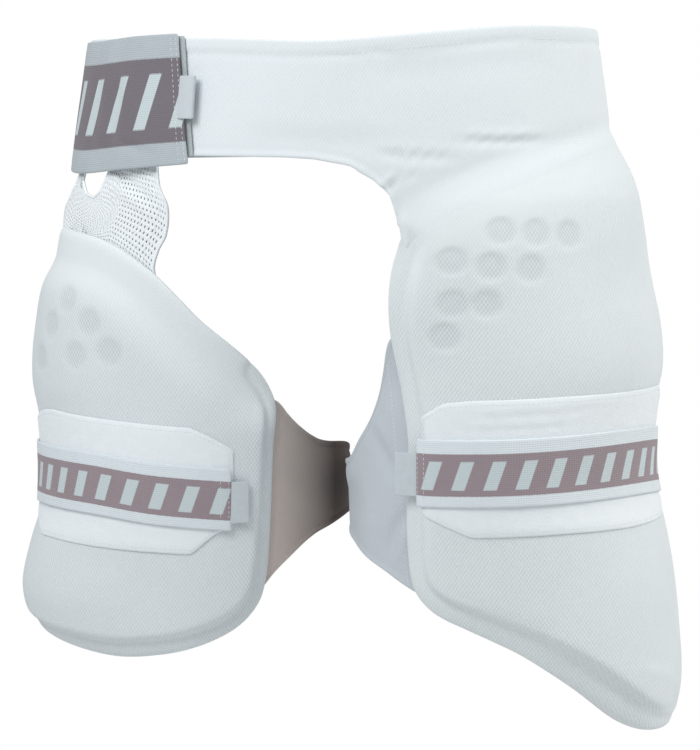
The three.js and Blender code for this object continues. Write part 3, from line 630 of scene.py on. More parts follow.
def cloth_material(
    name, weave, low, high, bump, roughness, pitch=None, sheen=0.15, extra=None, stretched_tone_and_painted_light=None
):
    """A cloth: its weave gives its relief and runs its colour from low to high"""
    material, tree, surface = new_material(name, roughness)
    surface["Sheen Weight"].default_value = sheen
    surface["Sheen Roughness"].default_value = 0.5
    surface["Specular IOR Level"].default_value = 0.25
    cloth = add(tree, "UVMap", uv_map="cloth").outputs[0]
    group = add(tree, "Group", node_tree=weave)
    tree.links.new(cloth, group.inputs["Cloth"])
    if pitch:
        group.inputs["Pitch"].default_value = pitch
    tone = group.outputs["Tone"]
    height = group.outputs["Height"]
    # Where the plain mask is set the tone is held at the given value; on the band that is painted
    # shade, on the inner pad a painted highlight
    if stretched_tone_and_painted_light is not None:
        plain = add(tree, "Attribute", attribute_name="plain").outputs["Fac"]
        woven = calc(tree, "SUBTRACT", 1, plain)
        flat_tone = calc(tree, "MULTIPLY_ADD", plain, stretched_tone_and_painted_light - middle_tone, middle_tone)
        tone = calc(tree, "SUBTRACT", tone, middle_tone)
        tone = calc(tree, "MULTIPLY_ADD", tone, woven, flat_tone)
        height = calc(tree, "MULTIPLY", height, woven)
    tint = dye(tree, tone, low, high)
    if extra:
        tint = extra(tree, tint, cloth)
    tree.links.new(tint, surface["Base Color"])
    relief = add(tree, "Bump", {"Strength": bump, "Distance": 0.0006, "Height": height})
    tree.links.new(relief.outputs[0], surface["Normal"])
    return material


def wear(piece, material):
    """Gives a piece its finish and its place on the guard"""
    piece.data.materials.clear()
    piece.data.materials.append(material)
    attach(piece, "root")


pad_knit_pitch = 0.0021
vent_grey = (0.4, 0.46, 0.47)
seam_binding_and_shade_grey = (0.4, 0.4, 0.4)


def pad_cover(name, low, high, plain_tone_and_painted_light):
    """The pads' knit, which is a little darker and more open over the vents, and darker at the seam
    and on its back, partly for the binding there and partly as painted shade along the rim
    """

    def vents(tree, tint, cloth):
        vent = add(tree, "Attribute", attribute_name="vent").outputs["Fac"]
        front = add(tree, "Attribute", attribute_name="front").outputs["Fac"]
        parts = add(tree, "SeparateXYZ", {0: cloth}).outputs
        lean = calc(tree, "MULTIPLY", parts[1], knit_slant)
        threads = thread_wave(tree, calc(tree, "ADD", parts[0], lean), pad_knit_pitch)
        crossing = thread_wave(tree, calc(tree, "SUBTRACT", parts[0], lean), pad_knit_pitch)
        cover = calc(tree, "MULTIPLY", calc(tree, "ADD", threads, crossing), 0.5)
        gaps = calc(tree, "SUBTRACT", 1, cover)
        shade = calc(tree, "MULTIPLY", vent, calc(tree, "MULTIPLY_ADD", gaps, 0.32, 0.03))
        tint = dye(tree, shade, tint, vent_grey)
        # Darker at the seam and on the back: partly the binding, partly painted shade along the rim
        seam = calc(tree, "MULTIPLY", calc(tree, "SUBTRACT", 1, front, clamp=True), 0.55)
        return dye(tree, seam, tint, seam_binding_and_shade_grey)

    return cloth_material(
        name, knit_weave, low, high, 0.5, 0.85, pitch=pad_knit_pitch, extra=vents,
        stretched_tone_and_painted_light=plain_tone_and_painted_light,
    )


outer_cover = pad_cover("Outer pad knit", (0.68, 0.735, 0.75), (0.82, 0.87, 0.88), 0.5)
outer_pad_piece = sew_pad(
    "outer_thigh_pad", outer_pad, under_patch(outer_patch),
    [([(-88, 268), (-55, 286), (-10, 304)], 3, -0.5), ([(20, 318), (62, 334), (84, 352)], 4, -0.5)],
)
wear(outer_pad_piece, outer_cover)
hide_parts("outer_pad")

# Inner pad
# The same foam and cover, smaller, over the front and the inside of the right thigh. Along its
# upper edge the cover is a flat band without foam, sewn to the mesh panel above. Its knit is given
# a little darker than the outer pad's, as painted shade, and lighter along that band, as a painted
# highlight.
right_thigh = {"side": -1, "x": -94.2, "y": -2, "half_width": 93, "half_depth": 94}
inner_rim = [
    (-0.183, 0.092), (-0.081, 0.036), (0, 0.014), (0.116, 0.004), (0.331, 0), (0.413, 0.022),
    (0.464, 0.079), (0.5, 0.21), (0.5, 0.436), (0.5, 0.72), (0.488, 0.83), (0.44, 0.908),
    (0.35, 0.955), (0.2, 0.982), (0.05, 0.996), (-0.06, 1), (-0.15, 0.992), (-0.257, 0.973),
    (-0.385, 0.922), (-0.447, 0.86), (-0.467, 0.79), (-0.474, 0.7), (-0.482, 0.485),
    (-0.487, 0.395), (-0.44, 0.322), (-0.364, 0.256), (-0.293, 0.2),
]
inner_pad = cut_pad(
    right_thigh, inner_rim, (24, 5, 11, 19),
    width=235, height=266, top=-84, middle=19, thickness=13.5, edge=3.4, blunt=0.45, swell=16.5,
    swell_from=-5, swell_to=58, base=5.6,
    bevel=[(0, 10), (0.6, 10), (0.8, 11.5), (1, 12)],
    lag=0, crown=[
        (0, 0), (3, 0.16), (12, 0.24), (19, 0.3), (25, 0.5), (33, 0.83), (43, 0.98), (60, 1),
    ],
    swells=[
        (0.12, 0), (0.21, 0.07), (0.29, 0.14), (0.37, 0.11), (0.45, -0.1), (0.52, -0.19),
        (0.6, -0.18), (0.66, -0.1), (0.7, 0.06), (0.76, 0.4), (0.86, 0.8), (0.93, 0.66), (1, 0.35),
    ],
    vents=[
        (0.082, 0.157), (0.148, 0.22), (-0.006, 0.206), (0.196, 0.305), (0.039, 0.286),
        (-0.067, 0.273),
    ],
)
inner_patch = {
    "pad": inner_pad, "height": 83, "drop": 156,
    "rows": [
        (-32, 0.29, -0.27), (-24.5, 0.39, -0.37), (-18, 0.46, -0.5), (10, 0.5, -0.48),
        (38, 0.53, -0.46), (47, 0.51, -0.46), (64, 0.41, -0.31), (74, 0.32, -0.2),
    ],
}
# Darker than the outer knit as painted shade, with a plain tone of 1.5 as a painted highlight along
# the top band
inner_cover_with_painted_light = pad_cover("Inner pad knit with painted light", (0.655, 0.71, 0.735), (0.79, 0.84, 0.86), 1.5)
inner_pad_piece = sew_pad("inner_thigh_pad", inner_pad, under_patch(inner_patch), [])
wear(inner_pad_piece, inner_cover_with_painted_light)
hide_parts("inner_pad")

# Waistband and hip panel
# One piece of white stretch knit. Its upper edge is turned over and sewn down, its lower edge is
# bound, and below the band it widens into the panel that carries the outer pad.
band_height = 72
band_bottom = -0.48 * band_height
band_top = [
    (-80, 0.5), (-17, 0.51), (7, 0.486), (15, 0.496), (39, 0.575), (54, 0.612), (71, 0.615),
    (93, 0.594), (120, 0.55), (146, 0.53),
]
yoke_curve = [
    (0, 0, 0), (0.247, 0.017, 0.2), (0.535, 0.083, 0.4), (0.753, 0.235, 0.58),
    (0.885, 0.39, 0.74), (0.951, 0.687, 0.88), (1, 1, 1),
]
yoke_front_end = -80
yoke_back_end = 146
yoke_wall = 2
hem_width = 8.6
hem_overlap = 10
hem_across = (-0.43, 0.47)
band_corner_turn = 3
band_cloth_wall = 1.7


def waist_point(turn, height, offset):
    """A point on the waist, at a turn in degrees from the front towards the left"""
    turn, height, offset = np.broadcast_arrays(turn, height, offset)
    spread = hip_slope * np.clip(-height, -hip_reach, hip_reach)
    x = (waist_half_width + spread + offset) * np.sin(turn * radian)
    y = -(waist_half_depth + spread / 2 + offset) * np.cos(turn * radian)
    return np.stack([x, y, height], -1)


def thigh_angle(thigh, points):
    across = thigh["side"] * (points[..., 0] - thigh["x"])
    return np.arctan2(across, thigh["y"] - points[..., 1]) / radian


turns_round = np.linspace(-200, 400, 1201)
round_waist = waist_point(turns_round, 0, 0)
waist_steps = np.linalg.norm(np.diff(round_waist, axis=0), axis=1)
waist_run = np.concatenate([[0], np.cumsum(waist_steps)])
waist_run -= np.interp(0, turns_round, waist_run)


def waist_flat(turn, height):
    """A place on the flat cut of the band: how far round from the front, and how far down"""
    turn, height = np.broadcast_arrays(turn, height)
    return np.stack([np.interp(turn, turns_round, waist_run), -height], -1)


def yoke_point(turn, height, offset):
    on_waist = waist_point(turn, np.maximum(height, hip_top), offset)
    angle = thigh_angle(left_thigh, waist_point(turn, hip_top, 0))
    on_hip = thigh_point(left_thigh, angle, height, offset)
    return np.where((height >= hip_top)[..., None], on_waist, on_hip)


def yoke_hem(share):
    """Turn and height of the yoke's hem behind the pad's upper edge"""
    x = share * outer_pad["width"]
    order = np.argsort(outer_pad["top_edge"][:, 0])
    edge = np.interp(x, outer_pad["top_edge"][order, 0], outer_pad["top_edge"][order, 1])
    point = thigh_point(left_thigh, pad_angle(outer_pad, x), hip_top, 0)
    section = hip_slope * min(hip_reach, -hip_top)
    across = point[0] / (waist_half_width + section)
    along = point[1] / (waist_half_depth + section / 2)
    return math.atan2(across, -along) / radian, outer_pad["top"] - edge - hem_overlap


corner_turn, corner_height = yoke_hem(hem_across[0])
side_turn, side_height = yoke_hem(hem_across[1])
controls = [(turn, turn, band_bottom) for turn in np.arange(yoke_front_end, 0, 8.0)]
for turn_share, drop, top_share in yoke_curve:
    top_turn = mix(band_corner_turn, corner_turn, top_share)
    turn = mix(band_corner_turn, corner_turn, turn_share)
    controls.append((top_turn, turn, mix(band_bottom, corner_height, drop)))
for share in np.linspace(0, 1, 12)[1:]:
    hem_turn, hem_height = yoke_hem(mix(*hem_across, share))
    controls.append((hem_turn, hem_turn, hem_height))
for share in np.linspace(0, 1, 8)[1:]:
    turn = mix(side_turn, yoke_back_end, share)
    controls.append((turn, turn, float(mix(side_height, band_bottom, smooth(share)))))
controls = np.array(controls)
creased = 1 + 1.4 * smooth((controls[1:, 0] + 4) / 10) * smooth((78 - controls[1:, 0]) / 10)
control_steps = np.hypot(np.diff(controls[:, 0]) * 2.5, np.diff(controls[:, 2]) * 0.5) * creased
control_place = np.concatenate([[0], np.cumsum(control_steps)])
yoke_place = np.linspace(0, control_place[-1], 300)
top_turns, low_turns, low_heights = (
    np.interp(yoke_place, control_place, controls[:, column]) for column in range(3)
)
down = np.linspace(0, 1, 34)[:, None]
top_heights = follow(band_top, top_turns) * band_height
yoke_turns = mix(top_turns, low_turns, smooth(down))
yoke_heights = mix(top_heights, low_heights, down)
yoke_flat = waist_flat(yoke_turns, yoke_heights)
yoke_points = yoke_point(yoke_turns, yoke_heights, yoke_wall)

# The panel climbs on to the foam's upper edge, and goes on behind the cover
hip_angle = thigh_angle(left_thigh, yoke_points)
pad_x = (hip_angle - outer_pad["middle"]) * radian * outer_pad["arc"]
pad_y = outer_pad["top"] - yoke_heights
past_edge = below_top(outer_pad, pad_x, pad_y)
climb = pad_skin(outer_pad, pad_x, pad_y) - yoke_wall
valley = mix(15, 6, smooth((pad_x + 80) / 130))
climb = climb - 1.0 * np.exp(-(((past_edge + valley) / 6) ** 2))
sink = smooth((past_edge + 6) / 6) * (1.1 * smooth((past_edge - 2) / 8) - 0.3)
at_front = smooth((hip_angle + 60) / 20) * smooth((150 - hip_angle) / 20)
outward = yoke_points - np.array([left_thigh["x"], left_thigh["y"], 0])
outward[..., 2] = 0
outward /= np.linalg.norm(outward, axis=-1, keepdims=True)
yoke_points = yoke_points + outward * ((climb - sink) * at_front)[..., None]

from_top = down * (top_heights - low_heights)
from_bottom = (1 - down) * (top_heights - low_heights)
edge_bind = 1 - smooth((low_turns - corner_turn + 3) / 3) + smooth((low_turns - side_turn) / 6)
relief = 0.5 * (1 - smooth((from_top - hem_width + 0.4) / 1.2))
relief = relief - 0.8 * np.exp(-(((from_top - hem_width - 0.6) / 1.5) ** 2))
relief = relief + 0.45 * edge_bind * (1 - smooth((from_bottom - 3.2) / 1.2))
relief = relief - 0.35 * edge_bind * np.exp(-(((from_bottom - 4.6) / 1.0) ** 2))
relief = relief + 0.45 * ripple(yoke_flat, 85, 0.7) * smooth(from_top / 14)
yoke_folds = [
    ([(36, -24), (50, -25), (64, -23.5)], 2, 2.4),
    ([(20, -31), (30, -33.6), (41, -34.4)], 2, 1.7),
    ([(25, -45.8), (33, -44.6)], 1.6, 0.8),
    ([(22, -57.5), (27.4, -46)], 1.9, 2),
    ([(26, -64), (27.2, -94)], 2.6, 1.7),
    ([(10, 12), (40, 18), (75, 24)], 9, 0.5),
    ([(-10, -22), (12, -26), (30, -24)], 7, 0.6),
]
for path, width, depth in yoke_folds:
    relief = relief + fold(yoke_flat, [waist_flat(*place) for place in path], width, depth)


def sheet_normals(points, middle):
    down = np.gradient(points, axis=0)
    across = np.gradient(points, axis=1)
    normals = np.cross(down, across) * face_out(points, middle)
    return normals / np.maximum(1e-9, np.linalg.norm(normals, axis=-1, keepdims=True))


middle_of_waist = (0, 0, 0)
yoke_normals = sheet_normals(yoke_points, middle_of_waist)
yoke_points = yoke_points + yoke_normals * relief[..., None]


def sew_sheet(name, points, flat, wall, middle, masks=None, rounds=1):
    """A sheet of cloth with a real thickness and soft edges, from the points of its outside"""
    rows, columns = points.shape[:2]
    faces = grid_faces(np.arange(rows * columns).reshape(rows, columns))
    if face_out(points, middle) < 0:
        faces = faces[:, ::-1]
    piece = make_piece(name, points.reshape(-1, 3), faces, flat.reshape(-1, 2), masks)
    finish_with(piece, "SOLIDIFY", thickness=wall * mm, offset=-1)
    if rounds:
        finish_with(piece, "SUBSURF", levels=rounds, render_levels=rounds)
    shade_smooth(piece)
    return piece


band_knit = cloth_material(
    "Band knit", knit_weave, (0.72, 0.775, 0.8), (0.86, 0.91, 0.935), 0.5, 0.85, pitch=0.0021,
    stretched_tone_and_painted_light=0.25,
)
# Plain mask: flattens the weave and holds the tone at the band's 0.25, painted shade that is light
# on the band and deepest on the hip panel
plain = 0.4 + 0.25 * smooth((-yoke_heights - 10) / 30)
yoke_piece = sew_sheet(
    "waistband_and_hip_panel", yoke_points, yoke_flat, band_cloth_wall, middle_of_waist,
    {"plain": plain},
)
wear(yoke_piece, band_knit)
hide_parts("waist_yoke")


def surface_at(points, normals, down, across):
    """Points and normals of a sheet at shares of its rows and columns"""
    rows, columns = points.shape[:2]
    row = np.clip(down, 0, 1) * (rows - 1)
    column = np.clip(across, 0, 1) * (columns - 1)
    low_row = np.minimum(row.astype(int), rows - 2)
    low_column = np.minimum(column.astype(int), columns - 2)
    r = (row - low_row)[..., None]
    c = (column - low_column)[..., None]

    def blend(grid):
        upper = mix(grid[low_row, low_column], grid[low_row, low_column + 1], c)
        lower = mix(grid[low_row + 1, low_column], grid[low_row + 1, low_column + 1], c)
        return mix(upper, lower, r)

    return blend(points), blend(normals)


def sew_line(name, runs, stitch=2.6, gap=1.0, thread=0.42):
    """Stitches laid end to end along runs of points and normals, each a short arched thread"""
    sides = 5
    sink = 0.12
    turns = np.arange(sides) * 2 * math.pi / sides
    reach = np.array([-1, -0.55, 0.55, 1])
    rise = np.array([-0.9, 0.55, 0.55, -0.9])
    thick = np.array([0.35, 1, 1, 0.35])
    rings = len(reach)
    all_points = []
    all_faces = []
    for line, normals in runs:
        steps = np.linalg.norm(np.diff(line, axis=0), axis=1)
        place = np.concatenate([[0], np.cumsum(steps)])
        count = int(place[-1] // (stitch + gap))
        for centre in (np.arange(count) + 0.5) * place[-1] / max(count, 1):
            at = np.array([np.interp(centre, place, line[:, axis]) for axis in range(3)])
            ahead = [np.interp(centre + 0.5, place, line[:, axis]) for axis in range(3)]
            normal = np.array([np.interp(centre, place, normals[:, axis]) for axis in range(3)])
            normal /= np.linalg.norm(normal)
            along = np.array(ahead) - at
            along -= normal * (along @ normal)
            length = np.linalg.norm(along)
            if length < 1e-6:
                continue
            along /= length
            side = np.cross(along, normal)
            first = len(all_points)
            for ring in range(rings):
                middle = at + along * reach[ring] * stitch / 2
                middle = middle + normal * (rise[ring] * thread / 2 - sink)
                for turn in turns:
                    spoke = side * math.cos(turn) + normal * math.sin(turn)
                    all_points.append(middle + spoke * thread / 2 * thick[ring])
            for ring in range(rings - 1):
                for turn in range(sides):
                    a = first + ring * sides + turn
                    b = first + ring * sides + (turn + 1) % sides
                    all_faces.append((a, b, b + sides, a + sides))
            all_faces.append(tuple(first + turn for turn in reversed(range(sides))))
            last = first + (rings - 1) * sides
            all_faces.append(tuple(last + turn for turn in range(sides)))
    piece = new_piece(name, all_points, all_faces)
    pick(piece)
    bpy.ops.object.mode_set(mode="EDIT")
    bpy.ops.mesh.select_all(action="SELECT")
    bpy.ops.mesh.normals_make_consistent(inside=False)
    bpy.ops.object.mode_set(mode="OBJECT")
    piece.select_set(False)
    shade_smooth(piece)
    return piece


def sheet_facts(points, flat):
    """The flat width, length and area of a sheet, in metres"""
    sides = [points[1:, :-1] - points[:-1, :-1], points[:-1, 1:] - points[:-1, :-1]]
    area = np.linalg.norm(np.cross(*sides), axis=-1).sum() * mm * mm
    reach = flat.reshape(-1, 2)
    width, length = (reach.max(0) - reach.min(0)) * mm
    area = min(float(area), float(width * length))
    return {"flat": (float(width), float(length)), "area": area}


def grained(name, low, high, scale, roughness):
    """A plain finish with a fine grain between two colours"""
    material, tree, surface = new_material(name, roughness)
    place = add(tree, "TexCoord").outputs["Object"]
    grain = noise(tree, place, scale)
    tree.links.new(dye(tree, grain, low, high), surface["Base Color"])
    return material


thread_white = grained("Sewing thread", (0.62, 0.66, 0.68), (0.86, 0.9, 0.92), 4000, 0.6)
column_length = top_heights - low_heights
across = np.linspace(0, 1, 500)
lengths = np.interp(across, np.linspace(0, 1, len(column_length)), column_length)
hem_line = surface_at(yoke_points, yoke_normals, hem_width / lengths, across)
hem_stitches = sew_line("waistband_hem_stitches", [hem_line])
wear(hem_stitches, thread_white)

# Loop patches
# White brushed loop cloth, cut as long octagons and sewn down all round on the pads, for the
# hooks on the straps' ends to grip.
patch_wall = 1.7
patch_cloth_wall = 0.9
patch_seam_inset = 3
patch_rows = 34

# Brushed loops lie every way, so their pile is noise at the size of a loop
loop_pile, entry, leave = new_group(
    "Loop pile", {"Cloth": "Vector"}, {"Height": "Float", "Tone": "Float"}
)
loops = noise(loop_pile, entry["Cloth"], 900, 4)
tufts = noise(loop_pile, entry["Cloth"], 140, 3)
loop_pile.links.new(calc(loop_pile, "MULTIPLY_ADD", tufts, 0.6, loops), leave["Height"])
loops = calc(loop_pile, "MULTIPLY", loops, 0.3)
loop_pile.links.new(calc(loop_pile, "MULTIPLY_ADD", tufts, 0.7, loops), leave["Tone"])
loop_cloth = cloth_material(
    "Loop cloth", loop_pile, (0.78, 0.84, 0.87), (0.9, 0.94, 0.96), 0.55, 0.95, sheen=0.3
)


def pad_holds(pad, x, y):
    """Whether places lie on the flat pad"""
    inside = np.zeros(x.shape, bool)
    for start, end in zip(pad["rim"], np.roll(pad["rim"], -1, axis=0)):
        if start[1] == end[1]:
            continue
        crosses = (start[1] > y) != (end[1] > y)
        edge = mix(start[0], end[0], (y - start[1]) / (end[1] - start[1]))
        inside ^= crosses & (x < edge)
    return inside


def pad_front(pad, angle, height):
    """How far the pad's outside stands off the thigh, or nothing where there is no pad"""
    x = (angle - pad["middle"]) * radian * pad["arc"]
    y = pad["top"] - height
    return np.where(pad_holds(pad, x, y), pad_skin(pad, x, y), 0)


def patch_outline(patch, angle, height):
    """How far inside the patch's edge a place is"""
    upper, lower = patch_edges(patch, angle)
    arc = patch["pad"]["arc"] * radian
    ends = np.minimum(angle - patch["rows"][0][0], patch["rows"][-1][0] - angle) * arc
    return np.minimum(np.minimum(upper - height, height - lower), ends)


def sew_patch(name, patch, folds):
    """A patch laid on its pad, with a row of stitches all round"""
    thigh = patch["pad"]["thigh"]
    first = patch["rows"][0][0]
    last = patch["rows"][-1][0]
    columns = int((last - first) * patch["pad"]["arc"] * radian / 2.6)
    angle = np.linspace(first, last, columns)[None] + np.zeros((patch_rows, 1))
    upper, lower = patch_edges(patch, angle)
    height = mix(upper, lower, np.linspace(0, 1, patch_rows)[:, None])
    inside = patch_outline(patch, angle, height)
    flat = np.stack([(angle - first) * patch["pad"]["arc"] * radian, -height], -1)
    rise = patch_wall * (0.55 + 0.45 * smooth(inside / 2.2))
    rise = rise - 0.4 * np.exp(-(((inside - 3) / 0.9) ** 2)) + 0.12 * ripple(flat, 45, 2.1)
    for path, width, depth in folds:
        rise = rise + fold(flat, path, width, depth)
    points = thigh_point(thigh, angle, height, pad_front(patch["pad"], angle, height) + rise)
    axis = (thigh["x"], thigh["y"], 0)
    piece = sew_sheet(name, points, flat, patch_cloth_wall, axis)
    wear(piece, loop_cloth)
    runs = []
    normals = sheet_normals(points, axis)
    tall = upper[0] - lower[0]
    wide = (last - first) * patch["pad"]["arc"] * radian
    inset = patch_seam_inset / wide
    across = np.linspace(inset, 1 - inset, 220)
    margin = patch_seam_inset / np.interp(across, np.linspace(0, 1, columns), tall)
    runs.append(surface_at(points, normals, margin, across))
    runs.append(surface_at(points, normals, 1 - margin, across))
    down = np.linspace(0.06, 0.94, 60)
    runs.append(surface_at(points, normals, down, np.full(60, inset)))
    runs.append(surface_at(points, normals, down, np.full(60, 1 - inset)))
    stitches = sew_line(name + "_stitches", runs, stitch=2.2, gap=0.9, thread=0.38)
    wear(stitches, thread_white)
    return piece, stitches, sheet_facts(points, flat)


outer_patch_piece, outer_patch_stitches, facts = sew_patch(
    "outer_loop_cloth", outer_patch,
    [
        ([(20, 188), (70, 186), (120, 183)], 1.6, 0.5),
        ([(12, 197), (60, 195), (100, 192)], 1.6, 0.4),
    ],
)
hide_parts("outer_loop_patch")
inner_patch_piece, inner_patch_stitches, facts = sew_patch("inner_loop_cloth", inner_patch, [])
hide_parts("inner_loop_patch")

# Thigh straps
# Woven elastic, white with a mauve grey stripe that carries plain pale slanting bars. Each strap
# is sewn to its wing, goes round the back of the thigh and hooks on to the loop patch in front.
strap_wall = 1.7
stripe_mauve = (0.33, 0.272, 0.292)
stripe_mark = (0.58, 0.66, 0.68)
strap_arc = 105
strap_turn_in = 7
bar_softness = 0.0005
elastic_wall = 1.6

# Where each strap runs, in drops from the pad's top and shares of the strap's height
outer_strap = {
    "pad": outer_pad, "height": 41, "drop": 199.5, "start": -5.7, "end": 252,
    "line": [(-6, 0), (20, -0.02), (66, -0.06), (94, 0), (150, 0.3), (250, 0.62)],
}
inner_strap = {
    "pad": inner_pad, "height": 39, "drop": 156, "start": -31, "end": 234,
    "line": [(-31, 0.18), (-7, 0.09), (18, -0.02), (58, 0), (100, 0.12), (150, 0.34), (232, 0.34)],
}

# Elastic has ribs along its length, crossed by the thin rubber threads that gather it
elastic_weave, entry, leave = new_group(
    "Ribbed elastic", {"Cloth": "Vector"}, {"Height": "Float", "Tone": "Float"}
)
parts = add(elastic_weave, "SeparateXYZ", {0: entry["Cloth"]}).outputs
ribs = thread_wave(elastic_weave, parts[1], 0.0013)
picks = thread_wave(elastic_weave, parts[0], 0.0016)
fuzz = noise(elastic_weave, entry["Cloth"], 1800)
picks = calc(elastic_weave, "MULTIPLY", picks, 0.35)
raised = calc(elastic_weave, "MULTIPLY_ADD", ribs, 0.6, picks)
elastic_weave.links.new(calc(elastic_weave, "MULTIPLY_ADD", fuzz, 0.3, raised), leave["Height"])
blotch = noise(elastic_weave, entry["Cloth"], 60, 3)
blotch = calc(elastic_weave, "MULTIPLY", blotch, 0.55)
toned = calc(elastic_weave, "MULTIPLY_ADD", raised, 0.5, blotch)
elastic_weave.links.new(calc(elastic_weave, "SUBTRACT", toned, 0.05, clamp=True), leave["Tone"])


def striped_elastic(name, low, high, stripe, top, bottom, bar, bar_gap, slant, bars_from, bars_to):
    """Elastic whose stripe and bars are woven in at shares of its width"""

    def stripes(tree, tint, cloth):
        width = add(tree, "Attribute", attribute_name="width").outputs["Fac"]
        parts = add(tree, "SeparateXYZ", {0: cloth}).outputs
        ragged = noise(tree, cloth, 700, 1)
        edge = calc(tree, "MULTIPLY_ADD", calc(tree, "SUBTRACT", ragged, 0.5), 0.012, width)

        def band(start, end, soft):
            rise = calc(tree, "MULTIPLY", calc(tree, "SUBTRACT", edge, start), 1 / soft, clamp=True)
            fall = calc(tree, "MULTIPLY", calc(tree, "SUBTRACT", end, edge), 1 / soft, clamp=True)
            return calc(tree, "MULTIPLY", rise, fall)

        weave = add(tree, "Group", node_tree=elastic_weave)
        tree.links.new(cloth, weave.inputs["Cloth"])
        tone = calc(tree, "MULTIPLY_ADD", weave.outputs["Tone"], 0.5, 0.72)
        darker = [0.78 * part for part in stripe]
        lighter = [1.22 * part for part in stripe]
        mauve = dye(tree, calc(tree, "SUBTRACT", tone, 0.5, clamp=True), darker, lighter)
        striped = dye(tree, band(top, bottom, 0.012), tint, mauve)
        run = calc(tree, "MULTIPLY_ADD", parts[1], slant, parts[0])
        pitch = bar + bar_gap
        place = calc(tree, "PINGPONG", calc(tree, "ADD", run, 10 * pitch), pitch / 2)
        bars = calc(tree, "SUBTRACT", bar / 2, place)
        bars = calc(tree, "MULTIPLY", bars, 1 / bar_softness, clamp=True)
        bars = calc(tree, "MULTIPLY", bars, band(bars_from, bars_to, 0.015))
        return dye(tree, bars, striped, stripe_mark)

    return cloth_material(name, elastic_weave, low, high, 0.35, 0.78, extra=stripes)


def strap_level(strap, angle):
    middle = strap["pad"]["top"] - strap["drop"]
    return middle - follow(strap["line"], angle) * strap["height"]


def strap_support(strap, patch, angle, height):
    """What the strap lies on: the patch, the pad or the wing"""
    pad = strap["pad"]
    on_pad = pad_front(pad, angle, height)
    inside = patch_outline(patch, angle, height)
    on_patch = np.where(inside > -2, on_pad + patch_wall, 0)
    return np.maximum(np.maximum(on_patch, on_pad), 1.7) + 0.35


def taut_radius(strap, patch, row_share, angles):
    """Radius of the taut loop round the thigh at one row of the strap"""
    thigh = strap["pad"]["thigh"]
    around = np.arange(0, 360, 2.0)
    turn = np.where(around > strap["end"], around - 360, around)
    height = strap_level(strap, turn) + (0.5 - row_share) * strap["height"]
    reach = body_radius(thigh, turn, height) + strap_support(strap, patch, turn, height)
    order = np.argsort(np.sin(turn * radian) * reach)
    points = np.stack([np.sin(turn * radian) * reach, -np.cos(turn * radian) * reach], -1)[order]
    hull = []
    for chain_points in (points, points[::-1]):
        chain = []
        for point in chain_points:
            while len(chain) > 1:
                one = chain[-1] - chain[-2]
                two = point - chain[-2]
                if one[0] * two[1] - one[1] * two[0] > 0:
                    break
                chain.pop()
            chain.append(point)
        hull += chain[:-1]
    hull = np.array(hull)
    run = np.roll(hull, -1, axis=0) - hull
    normals = np.stack([run[:, 1], -run[:, 0]], -1)
    normals /= np.maximum(1e-9, np.linalg.norm(normals, axis=1, keepdims=True))
    reach = (normals * hull).sum(1)
    heading = np.stack([np.sin(angles * radian), -np.cos(angles * radian)], -1)
    facing = heading @ normals.T
    return np.where(facing > 1e-6, reach / np.maximum(facing, 1e-6), 1e9).min(1)


def sew_strap(name, strap, patch, material, folds):
    """A strap drawn taut round the thigh, with its free end turned in and stitched"""
    thigh = strap["pad"]["thigh"]
    rows = 17
    length = (strap["end"] - strap["start"]) * strap_arc * radian
    columns = int(length / 3)
    angles = np.linspace(strap["start"], strap["end"], columns)
    shares = np.linspace(0, 1, rows)
    radii = np.array([taut_radius(strap, patch, share, angles) for share in shares])
    smooth_radii = radii.copy()
    for _ in range(6):
        inner_part = (smooth_radii[:, :-2] + smooth_radii[:, 2:]) / 2
        eased = mix(smooth_radii[:, 1:-1], inner_part, 0.5)
        smooth_radii[:, 1:-1] = np.maximum(radii[:, 1:-1], eased)
    heights = strap_level(strap, angles)[None] + (0.5 - shares[:, None]) * strap["height"]
    run = np.concatenate([[0], np.cumsum(np.diff(angles) * radian * radii[rows // 2, 1:])])
    flat = np.stack(np.broadcast_arrays(run[None], shares[:, None] * strap["height"]), -1)
    past_turn_in = flat[..., 0] - strap_turn_in
    ends = 0.55 * (1 - smooth(past_turn_in)) - 0.35 * np.exp(-((past_turn_in - 0.4) ** 2))
    rise = strap_wall + ends + 0.1 * ripple(flat, 26, 3.3)
    rim = np.minimum(flat[..., 1], strap["height"] - flat[..., 1])
    rise = rise - 0.25 * np.exp(-((rim - 2.4) ** 2) / 0.5)
    for path, width, depth in folds:
        rise = rise + fold(flat, path, width, depth)
    reach = smooth_radii + rise
    x = thigh["x"] + thigh["side"] * reach * np.sin(angles * radian)
    y = thigh["y"] - reach * np.cos(angles * radian)
    points = np.stack([x, y, heights], -1)
    axis = (thigh["x"], thigh["y"], 0)
    width_mask = np.broadcast_to(shares[:, None], (rows, columns))
    piece = sew_sheet(name, points, flat, elastic_wall, axis, {"width": width_mask})
    wear(piece, material)
    normals = sheet_normals(points, axis)
    down = np.linspace(0.04, 0.96, 80)
    seams = [6.2 / run[-1], 1.6 / run[-1], 1 - 4 / run[-1]]
    runs = [surface_at(points, normals, down, np.full(80, seam)) for seam in seams]
    stitches = sew_line(name + "_stitches", runs, stitch=2, gap=0.8, thread=0.36)
    wear(stitches, thread_white)
    return piece, stitches, points, sheet_facts(points, flat)


